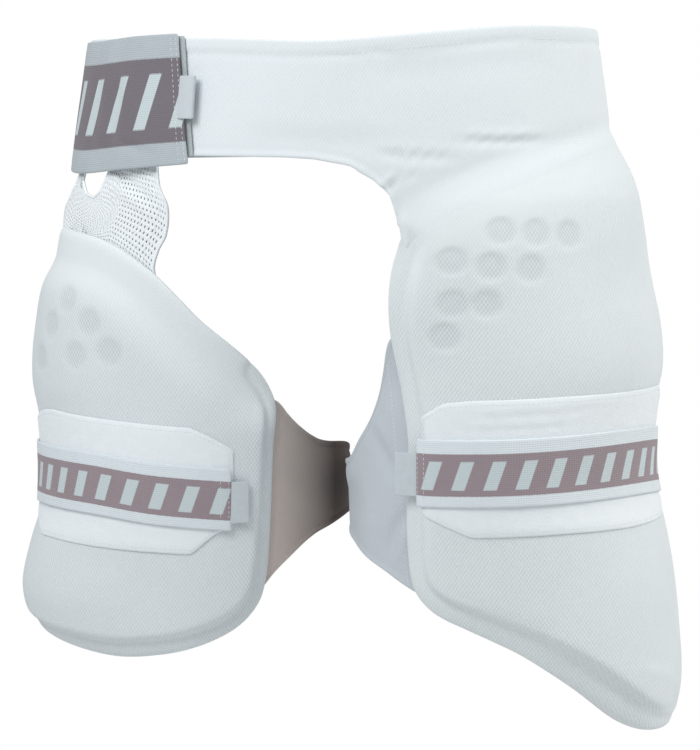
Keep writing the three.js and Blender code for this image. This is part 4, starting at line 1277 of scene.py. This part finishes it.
outer_elastic = striped_elastic(
    "Outer strap elastic", (0.68, 0.75, 0.79), (0.8, 0.86, 0.89), stripe_mauve,
    0.2, 0.835, 0.0085, 0.0105, 0.34, 0.31, 0.745,
)
outer_strap_piece, outer_strap_stitches, outer_strap_points, facts = sew_strap(
    "outer_thigh_strap", outer_strap, outer_patch, outer_elastic,
    [([(38, 1), (38.6, 40)], 0.9, 0.55)],
)
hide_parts("outer_strap")
inner_elastic = striped_elastic(
    "Inner strap elastic", (0.66, 0.73, 0.77), (0.78, 0.84, 0.87), stripe_mauve,
    0.2, 0.835, 0.0085, 0.0105, -0.34, 0.31, 0.745,
)
inner_strap_piece, inner_strap_stitches, inner_strap_points, facts = sew_strap(
    "inner_thigh_strap", inner_strap, inner_patch, inner_elastic,
    [([(57, 1), (57.5, 38)], 0.9, 0.5)],
)
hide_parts("inner_strap")

# Wings
# Stretch cloth from under each pad's inner edge round the inside of the thigh to the strap. The
# outer wing is white; the inner one is taupe, darkened towards its far end between the thighs by
# painted shade, and both have bound edges.
wing_arc = 93
wing_wall = 1.2
outer_wing = {
    "strap": outer_strap, "top": 117, "bottom": 277, "reach": (0, -3.2),
    "rows": [
        (-13, -3, -0.03, -0.05), (-19.5, -9.5, 0.07, 0.03), (-23.6, -17.3, 0.28, 0.2),
        (-27.3, -25, 0.46, 0.38), (-32.6, -33, 0.63, 0.52), (-41.1, -42, 0.78, 0.66),
        (-55, -55, 0.94, 0.8), (-80, -80, 1, 0.93), (-110, -110, 1, 1),
    ],
}
inner_wing = {
    "strap": inner_strap, "top": 104, "bottom": 232, "reach": (2.6, 2.6),
    "rows": [
        (-40, -33, -0.12, -0.12), (-50.5, -42, 0, 0.1), (-56, -50, 0.2, 0.44),
        (-61, -57, 0.36, 0.66), (-68, -66, 0.52, 0.88), (-77, -76, 0.63, 1),
        (-100, -100, 0.74, 1.12), (-128, -128, 1, 1),
    ],
}


def wing_edge(wing, shares, angle_column, share_column, start, half):
    """Angles and heights of a wing's upper or lower edge, from its pad to its strap"""
    rows = np.array(wing["rows"])
    places = np.linspace(0, 1, len(rows))
    angle = follow(np.stack([places, rows[:, angle_column]], -1), shares)
    share = follow(np.stack([places, rows[:, share_column]], -1), shares)
    strap = wing["strap"]
    strap_edge = strap_level(strap, strap["end"]) + half * strap["height"]
    return angle, mix(strap["pad"]["top"] - start, strap_edge, share)


def sew_wing(name, wing, material, folds, zigzag=None):
    """A wing stretched between its bound edges, with a zigzag seam where it is given"""
    thigh = wing["strap"]["pad"]["thigh"]
    across = np.linspace(0, 1, 64)
    top_angle, top_height = wing_edge(wing, across, 0, 2, wing["top"], 0.5)
    low_angle, low_height = wing_edge(wing, across, 1, 3, wing["bottom"], -0.5)
    down = np.linspace(0, 1, 56)[:, None]
    angle = mix(top_angle, low_angle, down)
    height = mix(top_height, low_height, down)
    flat = np.stack([angle * wing_arc * radian, -height], -1)
    tall = top_height - low_height
    rim = np.minimum(down, 1 - down) * tall
    rise = 1.4 + 0.5 * (1 - smooth((rim - 2.6) / 1)) - 0.3 * np.exp(-((rim - 4) ** 2))
    rise = rise + 0.35 * ripple(flat, 48, 4.1) * smooth(rim / 8)
    around_thigh = smooth((-angle - 34) / 22) * smooth((130 + angle) / 25)
    low_share = smooth((-227 - height) / 20)
    taut = mix(wing["reach"][0], wing["reach"][1], low_share) - 2 * (1 - smooth(down * tall / 14))
    rise = rise + taut * around_thigh
    for path, width, depth in folds:
        places = [(a * wing_arc * radian, -h) for a, h in path]
        rise = rise + fold(flat, places, width, depth)
    points = thigh_point(thigh, angle, height, rise)
    axis = (thigh["x"], thigh["y"], 0)
    piece = sew_sheet(name, points, flat, wing_wall, axis)
    wear(piece, material)
    normals = sheet_normals(points, axis)
    with_pieces = []
    if zigzag is not None:
        down_run = np.linspace(0.03, 0.97, 200)
        place = np.interp(down_run, *zigzag)
        sway = 0.006 * np.sign(np.sin(np.arange(200) * math.pi / 2 + 0.3))
        line = surface_at(points, normals, down_run, place + sway)
        stitches = sew_line(name + "_stitches", [line], stitch=1.9, gap=0.1, thread=0.4)
        wear(stitches, thread_white)
        with_pieces = [stitches]
    return piece, with_pieces, sheet_facts(points, flat)


def painted_shade_between_thighs(tree, tint, cloth):
    """Painted shade: the inner wing darkens towards its far end, between the thighs"""
    parts = add(tree, "SeparateXYZ", {0: cloth}).outputs
    away = calc(tree, "MULTIPLY", calc(tree, "ADD", parts[0], 0.06), -1 / 0.075, clamp=True)
    return dye(tree, calc(tree, "POWER", away, 1.15), tint, (0.085, 0.06, 0.048))


outer_wing_cloth = cloth_material(
    "Outer wing cloth", knit_weave, (0.48, 0.53, 0.565), (0.64, 0.69, 0.73), 0.3, 0.85, pitch=0.0016
)
# The inner wing's taupe runs into painted shade towards its far end
inner_wing_cloth = cloth_material(
    "Inner wing cloth", knit_weave, (0.7, 0.61, 0.57), (0.8, 0.71, 0.67), 0.3, 0.85,
    pitch=0.0016, extra=painted_shade_between_thighs,
)
outer_wing_piece, with_pieces, facts = sew_wing(
    "outer_wing_cloth", outer_wing, outer_wing_cloth,
    [
        ([(-9, -240), (-20, -262), (-27, -286)], 5, 1.6),
        ([(-34, -196), (-22, -222), (-16, -236)], 5, 1.5),
    ],
    zigzag=([0, 1], [0.19, 0.2]),
)
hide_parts("outer_wing")
inner_wing_piece, with_pieces, facts = sew_wing(
    "inner_wing_cloth", inner_wing, inner_wing_cloth,
    [([(-50, -225), (-62, -240), (-76, -250)], 6, 0.7)],
)
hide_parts("inner_wing")

# Elastic belt
# Wide woven elastic with the same stripe, sewn over the band's end at the back. It goes round the
# right hip, and hooks under its free end grip the front of the band.
elastic_height = 80
elastic_start = 138
elastic_end = 342.8
elastic_slant = 5
elastic_edges = [
    (138, 0.46, -0.5), (180, 0.45, -0.52), (240, 0.44, -0.53), (275, 0.435, -0.57),
    (303, 0.437, -0.6), (325, 0.478, -0.545), (343, 0.5, -0.49),
]
on_band = 2.7
on_hooks = 4.2


def elastic_seat(turn):
    past_seam = smooth((turn - yoke_back_end - 2) / 9)
    past_band = smooth((turn - 360 - yoke_front_end + 11) / 9)
    past_hooks = smooth((turn - elastic_end + elastic_slant + 21) / 9)
    return on_band * (1 - past_seam + past_band) + (on_hooks - on_band) * past_hooks


def elastic_edge(turn, column):
    rows = np.array(elastic_edges)
    return follow(rows[:, [0, column]], turn) * elastic_height


belt_rows = 30
belt_columns = 190
belt_down = np.linspace(0, 1, belt_rows)[:, None]
belt_across = np.linspace(0, 1, belt_columns)[None]
belt_turn = mix(elastic_start, elastic_end - elastic_slant * (1 - belt_down), belt_across)
belt_height = mix(elastic_edge(belt_turn, 1), elastic_edge(belt_turn, 2), belt_down)
belt_run = np.interp(belt_turn, turns_round, waist_run)
belt_flat = np.stack([belt_run, belt_down * elastic_height + 0 * belt_turn], -1)
end_turn = elastic_end - elastic_slant * (1 - belt_down)
from_end = np.interp(end_turn, turns_round, waist_run) - belt_run
relief = 1.9 + 0.6 * (1 - smooth((from_end - 6) / 1)) - 0.4 * np.exp(-((from_end - 6.6) ** 2))
rim = np.minimum(belt_flat[..., 1], elastic_height - belt_flat[..., 1])
relief = relief - 0.25 * np.exp(-((rim - 3) ** 2)) + 0.35 * ripple(belt_flat, 60, 5.2)
front_run = float(np.interp(elastic_end, turns_round, waist_run))
belt_folds = [
    ([(front_run - 62, 62), (front_run - 40, 68), (front_run - 20, 74)], 2.4, 0.9),
    ([(front_run - 44, 66), (front_run - 34, 76)], 1.6, 0.8),
    ([(front_run - 16, 62), (front_run - 8, 70)], 1.8, 0.6),
    ([(front_run - 70, 8), (front_run - 64, 40), (front_run - 70, 76)], 5, 0.9),
    ([(front_run - 92, 4), (front_run - 90, 44), (front_run - 94, 78)], 6, 0.8),
]
for path, width, depth in belt_folds:
    relief = relief + fold(belt_flat, path, width, depth)
belt_points = waist_point(belt_turn, belt_height, elastic_seat(belt_turn) + relief)
belt_elastic = striped_elastic(
    "Belt elastic", (0.4, 0.455, 0.485), (0.52, 0.575, 0.605), (0.19, 0.17, 0.192),
    0.175, 0.83, 0.0105, 0.0185, 0.3, 0.29, 0.72,
)
belt_piece = sew_sheet(
    "elastic_belt", belt_points, belt_flat, elastic_wall, middle_of_waist,
    {"width": np.broadcast_to(belt_down, belt_turn.shape)},
)
wear(belt_piece, belt_elastic)
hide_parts("waist_elastic")
belt_normals = sheet_normals(belt_points, middle_of_waist)
belt_length = belt_flat[0, -1, 0] - belt_flat[0, 0, 0]
down = np.linspace(0.02, 0.98, 130)
belt_seams = [1 - 5.6 / belt_length, 1 - 1.6 / belt_length, 3 / belt_length, 14 / belt_length]
belt_runs = [
    surface_at(belt_points, belt_normals, down, np.full(130, seam)) for seam in belt_seams
]
belt_stitches = sew_line("elastic_belt_stitches", belt_runs, stitch=2.2, gap=0.9, thread=0.42)
wear(belt_stitches, thread_white)

# Hook tape
# A strip of small stiff hooks under the belt's free end. It shows as a rough grey edge just past
# the belt; the grey is partly the hooks' own and partly painted shadow of the belt's edge.
hook_tape = cloth_material(
    "Hook tape with painted shadow", loop_pile, (0.33, 0.37, 0.38), (0.58, 0.63, 0.64), 1.0, 0.6, sheen=0
)
hook_run = 12
hook_wall = 0.9
hook_down = np.linspace(0, 1, 44)[:, None]
hook_across = np.linspace(0, 1, 12)[None]
hook_end = elastic_end + mix(1.1, 0.5, hook_down) - elastic_slant * (1 - hook_down)
hook_turn = mix(hook_end - hook_run, hook_end, hook_across)
hook_height = mix(elastic_edge(hook_turn, 1) - 1.5, elastic_edge(hook_turn, 2) + 4.5, hook_down)
hook_flat = waist_flat(hook_turn, hook_height)
hook_points = waist_point(hook_turn, hook_height, on_band + 1.2 + 0.15 * ripple(hook_flat, 6, 2.2))
hook_piece = sew_sheet("belt_hook_tape", hook_points, hook_flat, hook_wall, middle_of_waist)
wear(hook_piece, hook_tape)
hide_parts("waist_hook_tape")

# Labels
# Each free end has a short satin ribbon folded into a loop and sewn in, to pull it by. They are
# left bare.
satin_weave, entry, leave = new_group(
    "Satin ribbon", {"Cloth": "Vector"}, {"Height": "Float", "Tone": "Float"}
)
parts = add(satin_weave, "SeparateXYZ", {0: entry["Cloth"]}).outputs
threads = thread_wave(satin_weave, parts[0], 0.0005)
satin_weave.links.new(threads, leave["Height"])
blotch = noise(satin_weave, entry["Cloth"], 200)
blotch = calc(satin_weave, "MULTIPLY", blotch, 0.6)
satin_weave.links.new(calc(satin_weave, "MULTIPLY_ADD", threads, 0.3, blotch), leave["Tone"])
ribbon = cloth_material(
    "Satin label", satin_weave, (0.5, 0.56, 0.59), (0.66, 0.72, 0.75), 0.2, 0.45, sheen=0.4
)
label_height = 26
label_wall = 0.5
label_lift = 0.15
belt_front_radius = 128


def sew_label(name, place, length, bulge, node):
    """A ribbon folded double. place gives a point at a run, a height share and an offset"""
    turns = np.linspace(0, 1, 41)[None]
    down = np.linspace(0, 1, 22)[:, None]
    on_back = turns < 0.5
    on_bend = (turns > 0.46) & (turns < 0.54)
    bend = np.clip((turns - 0.46) / 0.08, 0, 1) * math.pi
    out = np.where(on_back, np.clip(turns / 0.46, 0, 1), np.clip((1 - turns) / 0.46, 0, 1))
    run = out * length + 0.5 * bulge * np.sin(bend) * 0.6
    front_lift = label_lift + label_wall * 1.2
    full_lift = front_lift + bulge * math.sin(math.pi * 0.62)
    lift = np.where(on_back, label_lift, front_lift + bulge * np.sin(out * math.pi * 0.62))
    lift = np.where(on_bend, mix(label_lift, full_lift, (1 - np.cos(bend)) / 2), lift)
    run, lift, share = np.broadcast_arrays(run, lift, down)
    points = place(run, share, lift)
    steps = np.linalg.norm(np.diff(points[len(points) // 2], axis=0), axis=1)
    along = np.concatenate([[0], np.cumsum(steps)])
    flat = np.stack(np.broadcast_arrays(along[None], down * label_height), -1)
    rows, columns = points.shape[:2]
    faces = grid_faces(np.arange(rows * columns).reshape(rows, columns))
    piece = make_piece(name, points.reshape(-1, 3), faces, flat.reshape(-1, 2))
    finish_with(piece, "SOLIDIFY", thickness=label_wall * mm, offset=0)
    finish_with(piece, "SUBSURF", levels=1, render_levels=1)
    shade_smooth(piece)
    wear(piece, ribbon)
    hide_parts(node)


def belt_label_place(run, share, lift):
    """On the belt's free end, with its fold past the end"""
    turn = elastic_end - 3.3 + run / belt_front_radius / radian
    return waist_point(turn, (0.54 - share) * label_height, on_hooks + 2.3 + lift)


sew_label("belt_pull_label", belt_label_place, 8.6, 1.7, "waist_pull_tab")


def strap_label_place(strap, points):
    """On a strap's free end, in the middle of its wall"""
    thigh = strap["pad"]["thigh"]
    middle = points[len(points) // 2, 0]
    radius = math.hypot(middle[0] - thigh["x"], middle[1] - thigh["y"]) - 1.6
    level = float(strap_level(strap, strap["start"]))

    def place(run, share, lift):
        angle = strap["start"] + 1.2 - run / radius / radian
        reach = radius + lift
        x = thigh["x"] + thigh["side"] * reach * np.sin(angle * radian)
        y = thigh["y"] - reach * np.cos(angle * radian)
        return np.stack([x, y, level + (0.44 - share) * label_height + 0 * run], -1)

    return place


outer_place = strap_label_place(outer_strap, outer_strap_points)
inner_place = strap_label_place(inner_strap, inner_strap_points)
sew_label("outer_strap_label", outer_place, 16, 0.4, "outer_strap_tab")
sew_label("inner_strap_label", inner_place, 13, 0.4, "inner_strap_tab")

# Mesh panel
# White warp knit with rows of open holes, which hangs the inner pad from the waistband behind the
# belt. Its edges are turned and sewn, and a notch below the belt leaves a free flap.
mesh_top = [
    (50, 0), (45, 0), (42, 0.41), (34, 0.57), (27, 0.61), (22, 0.53), (18, 0.31), (15.5, 0),
    (9, 0), (3, 0), (-3, 0), (-6, 0),
]
mesh_foot = [84, 73, 61, 48, 38, 29, 20, 13, 7, 1, -5, -10]
mesh_back_edge = [(0, 50), (0.26, 49.5), (0.485, 57), (0.71, 69), (1, 84)]
mesh_front_edge = [
    (0, -6), (0.18, -7.6), (0.27, -8.6), (0.4, -11.4), (0.58, -10.5), (0.69, -7.3), (0.82, -5.6),
    (1, -10),
]
mesh_arc = 96
mesh_head = -28
mesh_overlap = 9
mesh_hem_width = 2.8
mesh_wall = 0.7
net_gap = 1.1
net_wall = 0.3
mesh_pitch = 3.3
hole_radius = 0.62

foot_order = np.argsort(inner_pad["top_edge"][:, 0])
mesh_columns = 110
mesh_rows = 70
shares = np.linspace(0, 1, mesh_columns)
heads = np.linspace(0, 1, len(mesh_top))
head_angle = np.interp(shares, heads, [row[0] for row in mesh_top])
head_drop = np.interp(shares, heads, [row[1] for row in mesh_top])
foot_angle = np.interp(shares, heads, mesh_foot)
foot_x = (foot_angle - inner_pad["middle"]) * radian * inner_pad["arc"]
foot_edge = np.interp(foot_x, *inner_pad["top_edge"][foot_order].T)
foot_height = inner_pad["top"] - foot_edge - mesh_overlap
head_height = mix(mesh_head, inner_pad["top"], head_drop)
down = np.linspace(0, 1, mesh_rows)[:, None]


def mesh_bow(edge, straight_from, straight_to):
    """How far an edge of the panel bows from a straight line"""
    return follow(edge, down) - mix(straight_from, straight_to, down)


bow = mix(mesh_bow(mesh_back_edge, 50, 84), mesh_bow(mesh_front_edge, -6, -10), shares)
mesh_angle = mix(head_angle, foot_angle, down) + bow
mesh_height = mix(head_height, foot_height, down)
tuck = -3.4 * (1 - smooth((band_bottom - mesh_height) / 26))
lift = 1.2 * (1 - smooth((mesh_height - foot_height - mesh_overlap) / 30))
lift = lift + 3.4 * smooth((mesh_angle - 48) / 16) * smooth((down - 0.3) / 0.3)
mesh_flat = np.stack([mesh_angle * mesh_arc * radian, -mesh_height], -1)
relief = tuck + lift + 1.2 + 0.5 * ripple(mesh_flat, 40, 6.1)
for path, width, depth in [
    ([(37, -78), (30, -98), (24, -118)], 3.2, 2.8),
    ([(20, -40), (6, -50), (-10, -68)], 4, 2.2),
    ([(46, -86), (40, -104)], 3, 1.0),
]:
    places = [(angle * mesh_arc * radian, -height) for angle, height in path]
    relief = relief + fold(mesh_flat, places, width, depth)
mesh_points = thigh_point(right_thigh, mesh_angle, mesh_height, relief)
right_axis = (right_thigh["x"], right_thigh["y"], 0)
mesh_normals = sheet_normals(mesh_points, right_axis)

# Each cell of the knit is a six-sided ring of thread round its hole
run_across = np.linalg.norm(np.diff(mesh_points, axis=1), axis=-1).mean() * (mesh_columns - 1)
run_down = np.linalg.norm(np.diff(mesh_points, axis=0), axis=-1).mean() * (mesh_rows - 1)
cell = mesh_pitch / math.sqrt(3)
hex_turn = (np.arange(6) + 0.5) * math.pi / 3
cell_points = {}
knit_points = []
knit_flat = []
knit_faces = []


def knit_vertex(u, v):
    """The number of a point of the knit, which neighbouring cells share"""
    key = (round(u / 0.02), round(v / 0.02))
    if key not in cell_points:
        cell_points[key] = len(knit_points)
        knit_points.append((u / run_across, v / run_down))
        knit_flat.append((u, v))
    return cell_points[key]


for row in range(int(run_down / (1.5 * cell)) + 1):
    v = (row + 0.5) * 1.5 * cell
    for column in range(int(run_across / mesh_pitch) + 1):
        u = (column + 0.5 + 0.5 * (row % 2)) * mesh_pitch
        if u + 0.55 * mesh_pitch > run_across or v + cell * 1.02 > run_down or u < 0.5 * mesh_pitch:
            continue
        rim_ring = [
            knit_vertex(u + cell * math.cos(turn), v + cell * math.sin(turn)) for turn in hex_turn
        ]
        near_rim = min(u, run_across - u, v, run_down - v) < 2.4
        if near_rim:
            knit_faces.append(tuple(rim_ring))
            continue
        hole = [
            knit_vertex(u + hole_radius * math.cos(turn), v + hole_radius * 1.35 * math.sin(turn))
            for turn in hex_turn
        ]
        for side in range(6):
            after = (side + 1) % 6
            knit_faces.append((rim_ring[side], rim_ring[after], hole[after], hole[side]))
places = np.array(knit_points)
knit_on = surface_at(mesh_points, mesh_normals, places[:, 1], places[:, 0])[0]
mesh_panel = make_piece("mesh_hip_panel", knit_on, knit_faces, knit_flat)
faces_out = sum(
    face.normal.x * (face.center.x - right_thigh["x"] * mm)
    + face.normal.y * (face.center.y - right_thigh["y"] * mm)
    for face in mesh_panel.data.polygons
)
if faces_out < 0:
    mesh_panel.data.flip_normals()
finish_with(mesh_panel, "SOLIDIFY", thickness=mesh_wall * mm, offset=-1)
shade_smooth(mesh_panel)
mesh_knit = cloth_material(
    "Mesh knit", elastic_weave, (0.86, 0.91, 0.94), (0.95, 0.98, 0.99), 0.2, 0.88
)
wear(mesh_panel, mesh_knit)
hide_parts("mesh_panel")

# Behind the open face is the fine close net of the same cloth, coloured grey as painted shade of
# the dark inside seen through the holes
net_cloth_in_painted_shade = cloth_material(
    "Backing net in painted shade", elastic_weave, (0.46, 0.5, 0.52), (0.64, 0.68, 0.7), 0.3, 0.9
)
net_piece = sew_sheet(
    "mesh_backing_net", mesh_points - net_gap * mesh_normals, mesh_flat, net_wall, right_axis,
    rounds=0,
)
wear(net_piece, net_cloth_in_painted_shade)

# A turned hem follows the panel's free edges
hem_shares = np.linspace(0, 1, 140)
edge_runs = {
    "front": (hem_shares, np.full(140, 1.0), np.array([0, -1.0])),
    "back": (hem_shares, np.full(140, 0.0), np.array([0, 1.0])),
    "notch": (np.zeros(140), mix(0.1, 0.63, hem_shares), np.array([1.0, 0])),
}
for hem_name, (rows_at, columns_at, inward) in edge_runs.items():
    strips = []
    for step in np.linspace(0, 1, 7):
        hem_down = rows_at + inward[0] * step * mesh_hem_width / run_down
        hem_across_panel = columns_at + inward[1] * step * mesh_hem_width / run_across
        at, normal = surface_at(mesh_points, mesh_normals, hem_down, hem_across_panel)
        rise = 0.55 - 0.3 * np.exp(-(((step - 0.72) / 0.12) ** 2)) - 0.25 * (step > 0.95)
        strips.append(at + normal * rise)
    hem_points = np.array(strips)
    hem_flat = np.stack(np.broadcast_arrays(
        hem_shares[None] * 100, np.linspace(0, mesh_hem_width, 7)[:, None]), -1)
    hem = sew_sheet("mesh_hem_" + hem_name, hem_points, hem_flat, 1.5, right_axis)
    wear(hem, mesh_knit)
panel_across = np.linspace(0, run_across, mesh_columns)[None]
panel_down = np.linspace(0, run_down, mesh_rows)[:, None]
facts = sheet_facts(mesh_points, np.stack(np.broadcast_arrays(panel_across, panel_down), -1))

# Studio
# A pale floor far below, a broad soft light high in front, a weaker one from the right and a
# little light from all round.
floor_level = -0.9
bpy.ops.mesh.primitive_plane_add(size=3.4, location=(0, 0, floor_level))
floor = bpy.context.object
floor.name = "studio_floor"
floor_finish = grained("Pale floor", (0.74, 0.74, 0.74), (0.8, 0.8, 0.8), 3, 0.9)
floor.data.materials.append(floor_finish)

world = bpy.data.worlds.new("Studio")
bpy.context.scene.world = world
world.use_nodes = True
world_tree = world.node_tree
around = world_tree.nodes["Background"]
around.inputs["Color"].default_value = (0.95, 0.975, 1, 1)
direction = add(world_tree, "TexCoord").outputs["Generated"]
upward = add(world_tree, "SeparateXYZ", {0: direction}).outputs[2]
brighter = calc(world_tree, "MULTIPLY_ADD", upward, 0.32, 0.48)
world_tree.links.new(brighter, around.inputs["Strength"])
seen = add(world_tree, "Background", {"Color": (1, 1, 1, 1), "Strength": 1}).outputs[0]
to_camera = add(world_tree, "LightPath").outputs["Is Camera Ray"]
backdrop = add(world_tree, "MixShader", {0: to_camera, 1: around.outputs[0], 2: seen})
world_tree.links.new(backdrop.outputs[0], world_tree.nodes["World Output"].inputs[0])


def turn_to(place, aim):
    """The turns that point a lamp or a camera from its place at its aim"""
    look = np.array(aim) - np.array(place)
    return math.atan2(math.hypot(look[0], look[1]), -look[2]), 0, math.atan2(-look[0], look[1])


def area_light(name, place, size, power, aim):
    data = bpy.data.lights.new(name, "AREA")
    data.shape = "RECTANGLE"
    data.size, data.size_y = size
    data.energy = power
    light = bpy.data.objects.new(name, data)
    bpy.context.scene.collection.objects.link(light)
    light.location = place
    light.rotation_euler = turn_to(place, aim)
    return light


area_light("High front light", (-0.3, -1, 0.64), (0.6, 0.55), 7.15, (0, 0, -0.1))
right_light = area_light("Right light", (1.6, 0.25, 0.8), (0.8, 1), 15, (0, 0, 0))
right_light.data.color = (1, 0.965, 0.92)

# Camera
# The guard is seen from a little to its left and above, as if from two metres away.
camera_place = (0.6913, -1.884, 0.023)
camera_aim = (0.0106, -0.0139, -0.1756)
camera_data = bpy.data.cameras.new("Camera")
camera_data.lens = 151.2
camera_data.sensor_width = 36
camera_data.sensor_fit = "AUTO"
camera_data.clip_end = 50
camera = bpy.data.objects.new("Camera", camera_data)
bpy.context.scene.collection.objects.link(camera)
camera.location = camera_place
camera.rotation_euler = turn_to(camera_place, camera_aim)
bpy.context.scene.camera = camera
bpy.context.scene.view_settings.view_transform = "Standard"
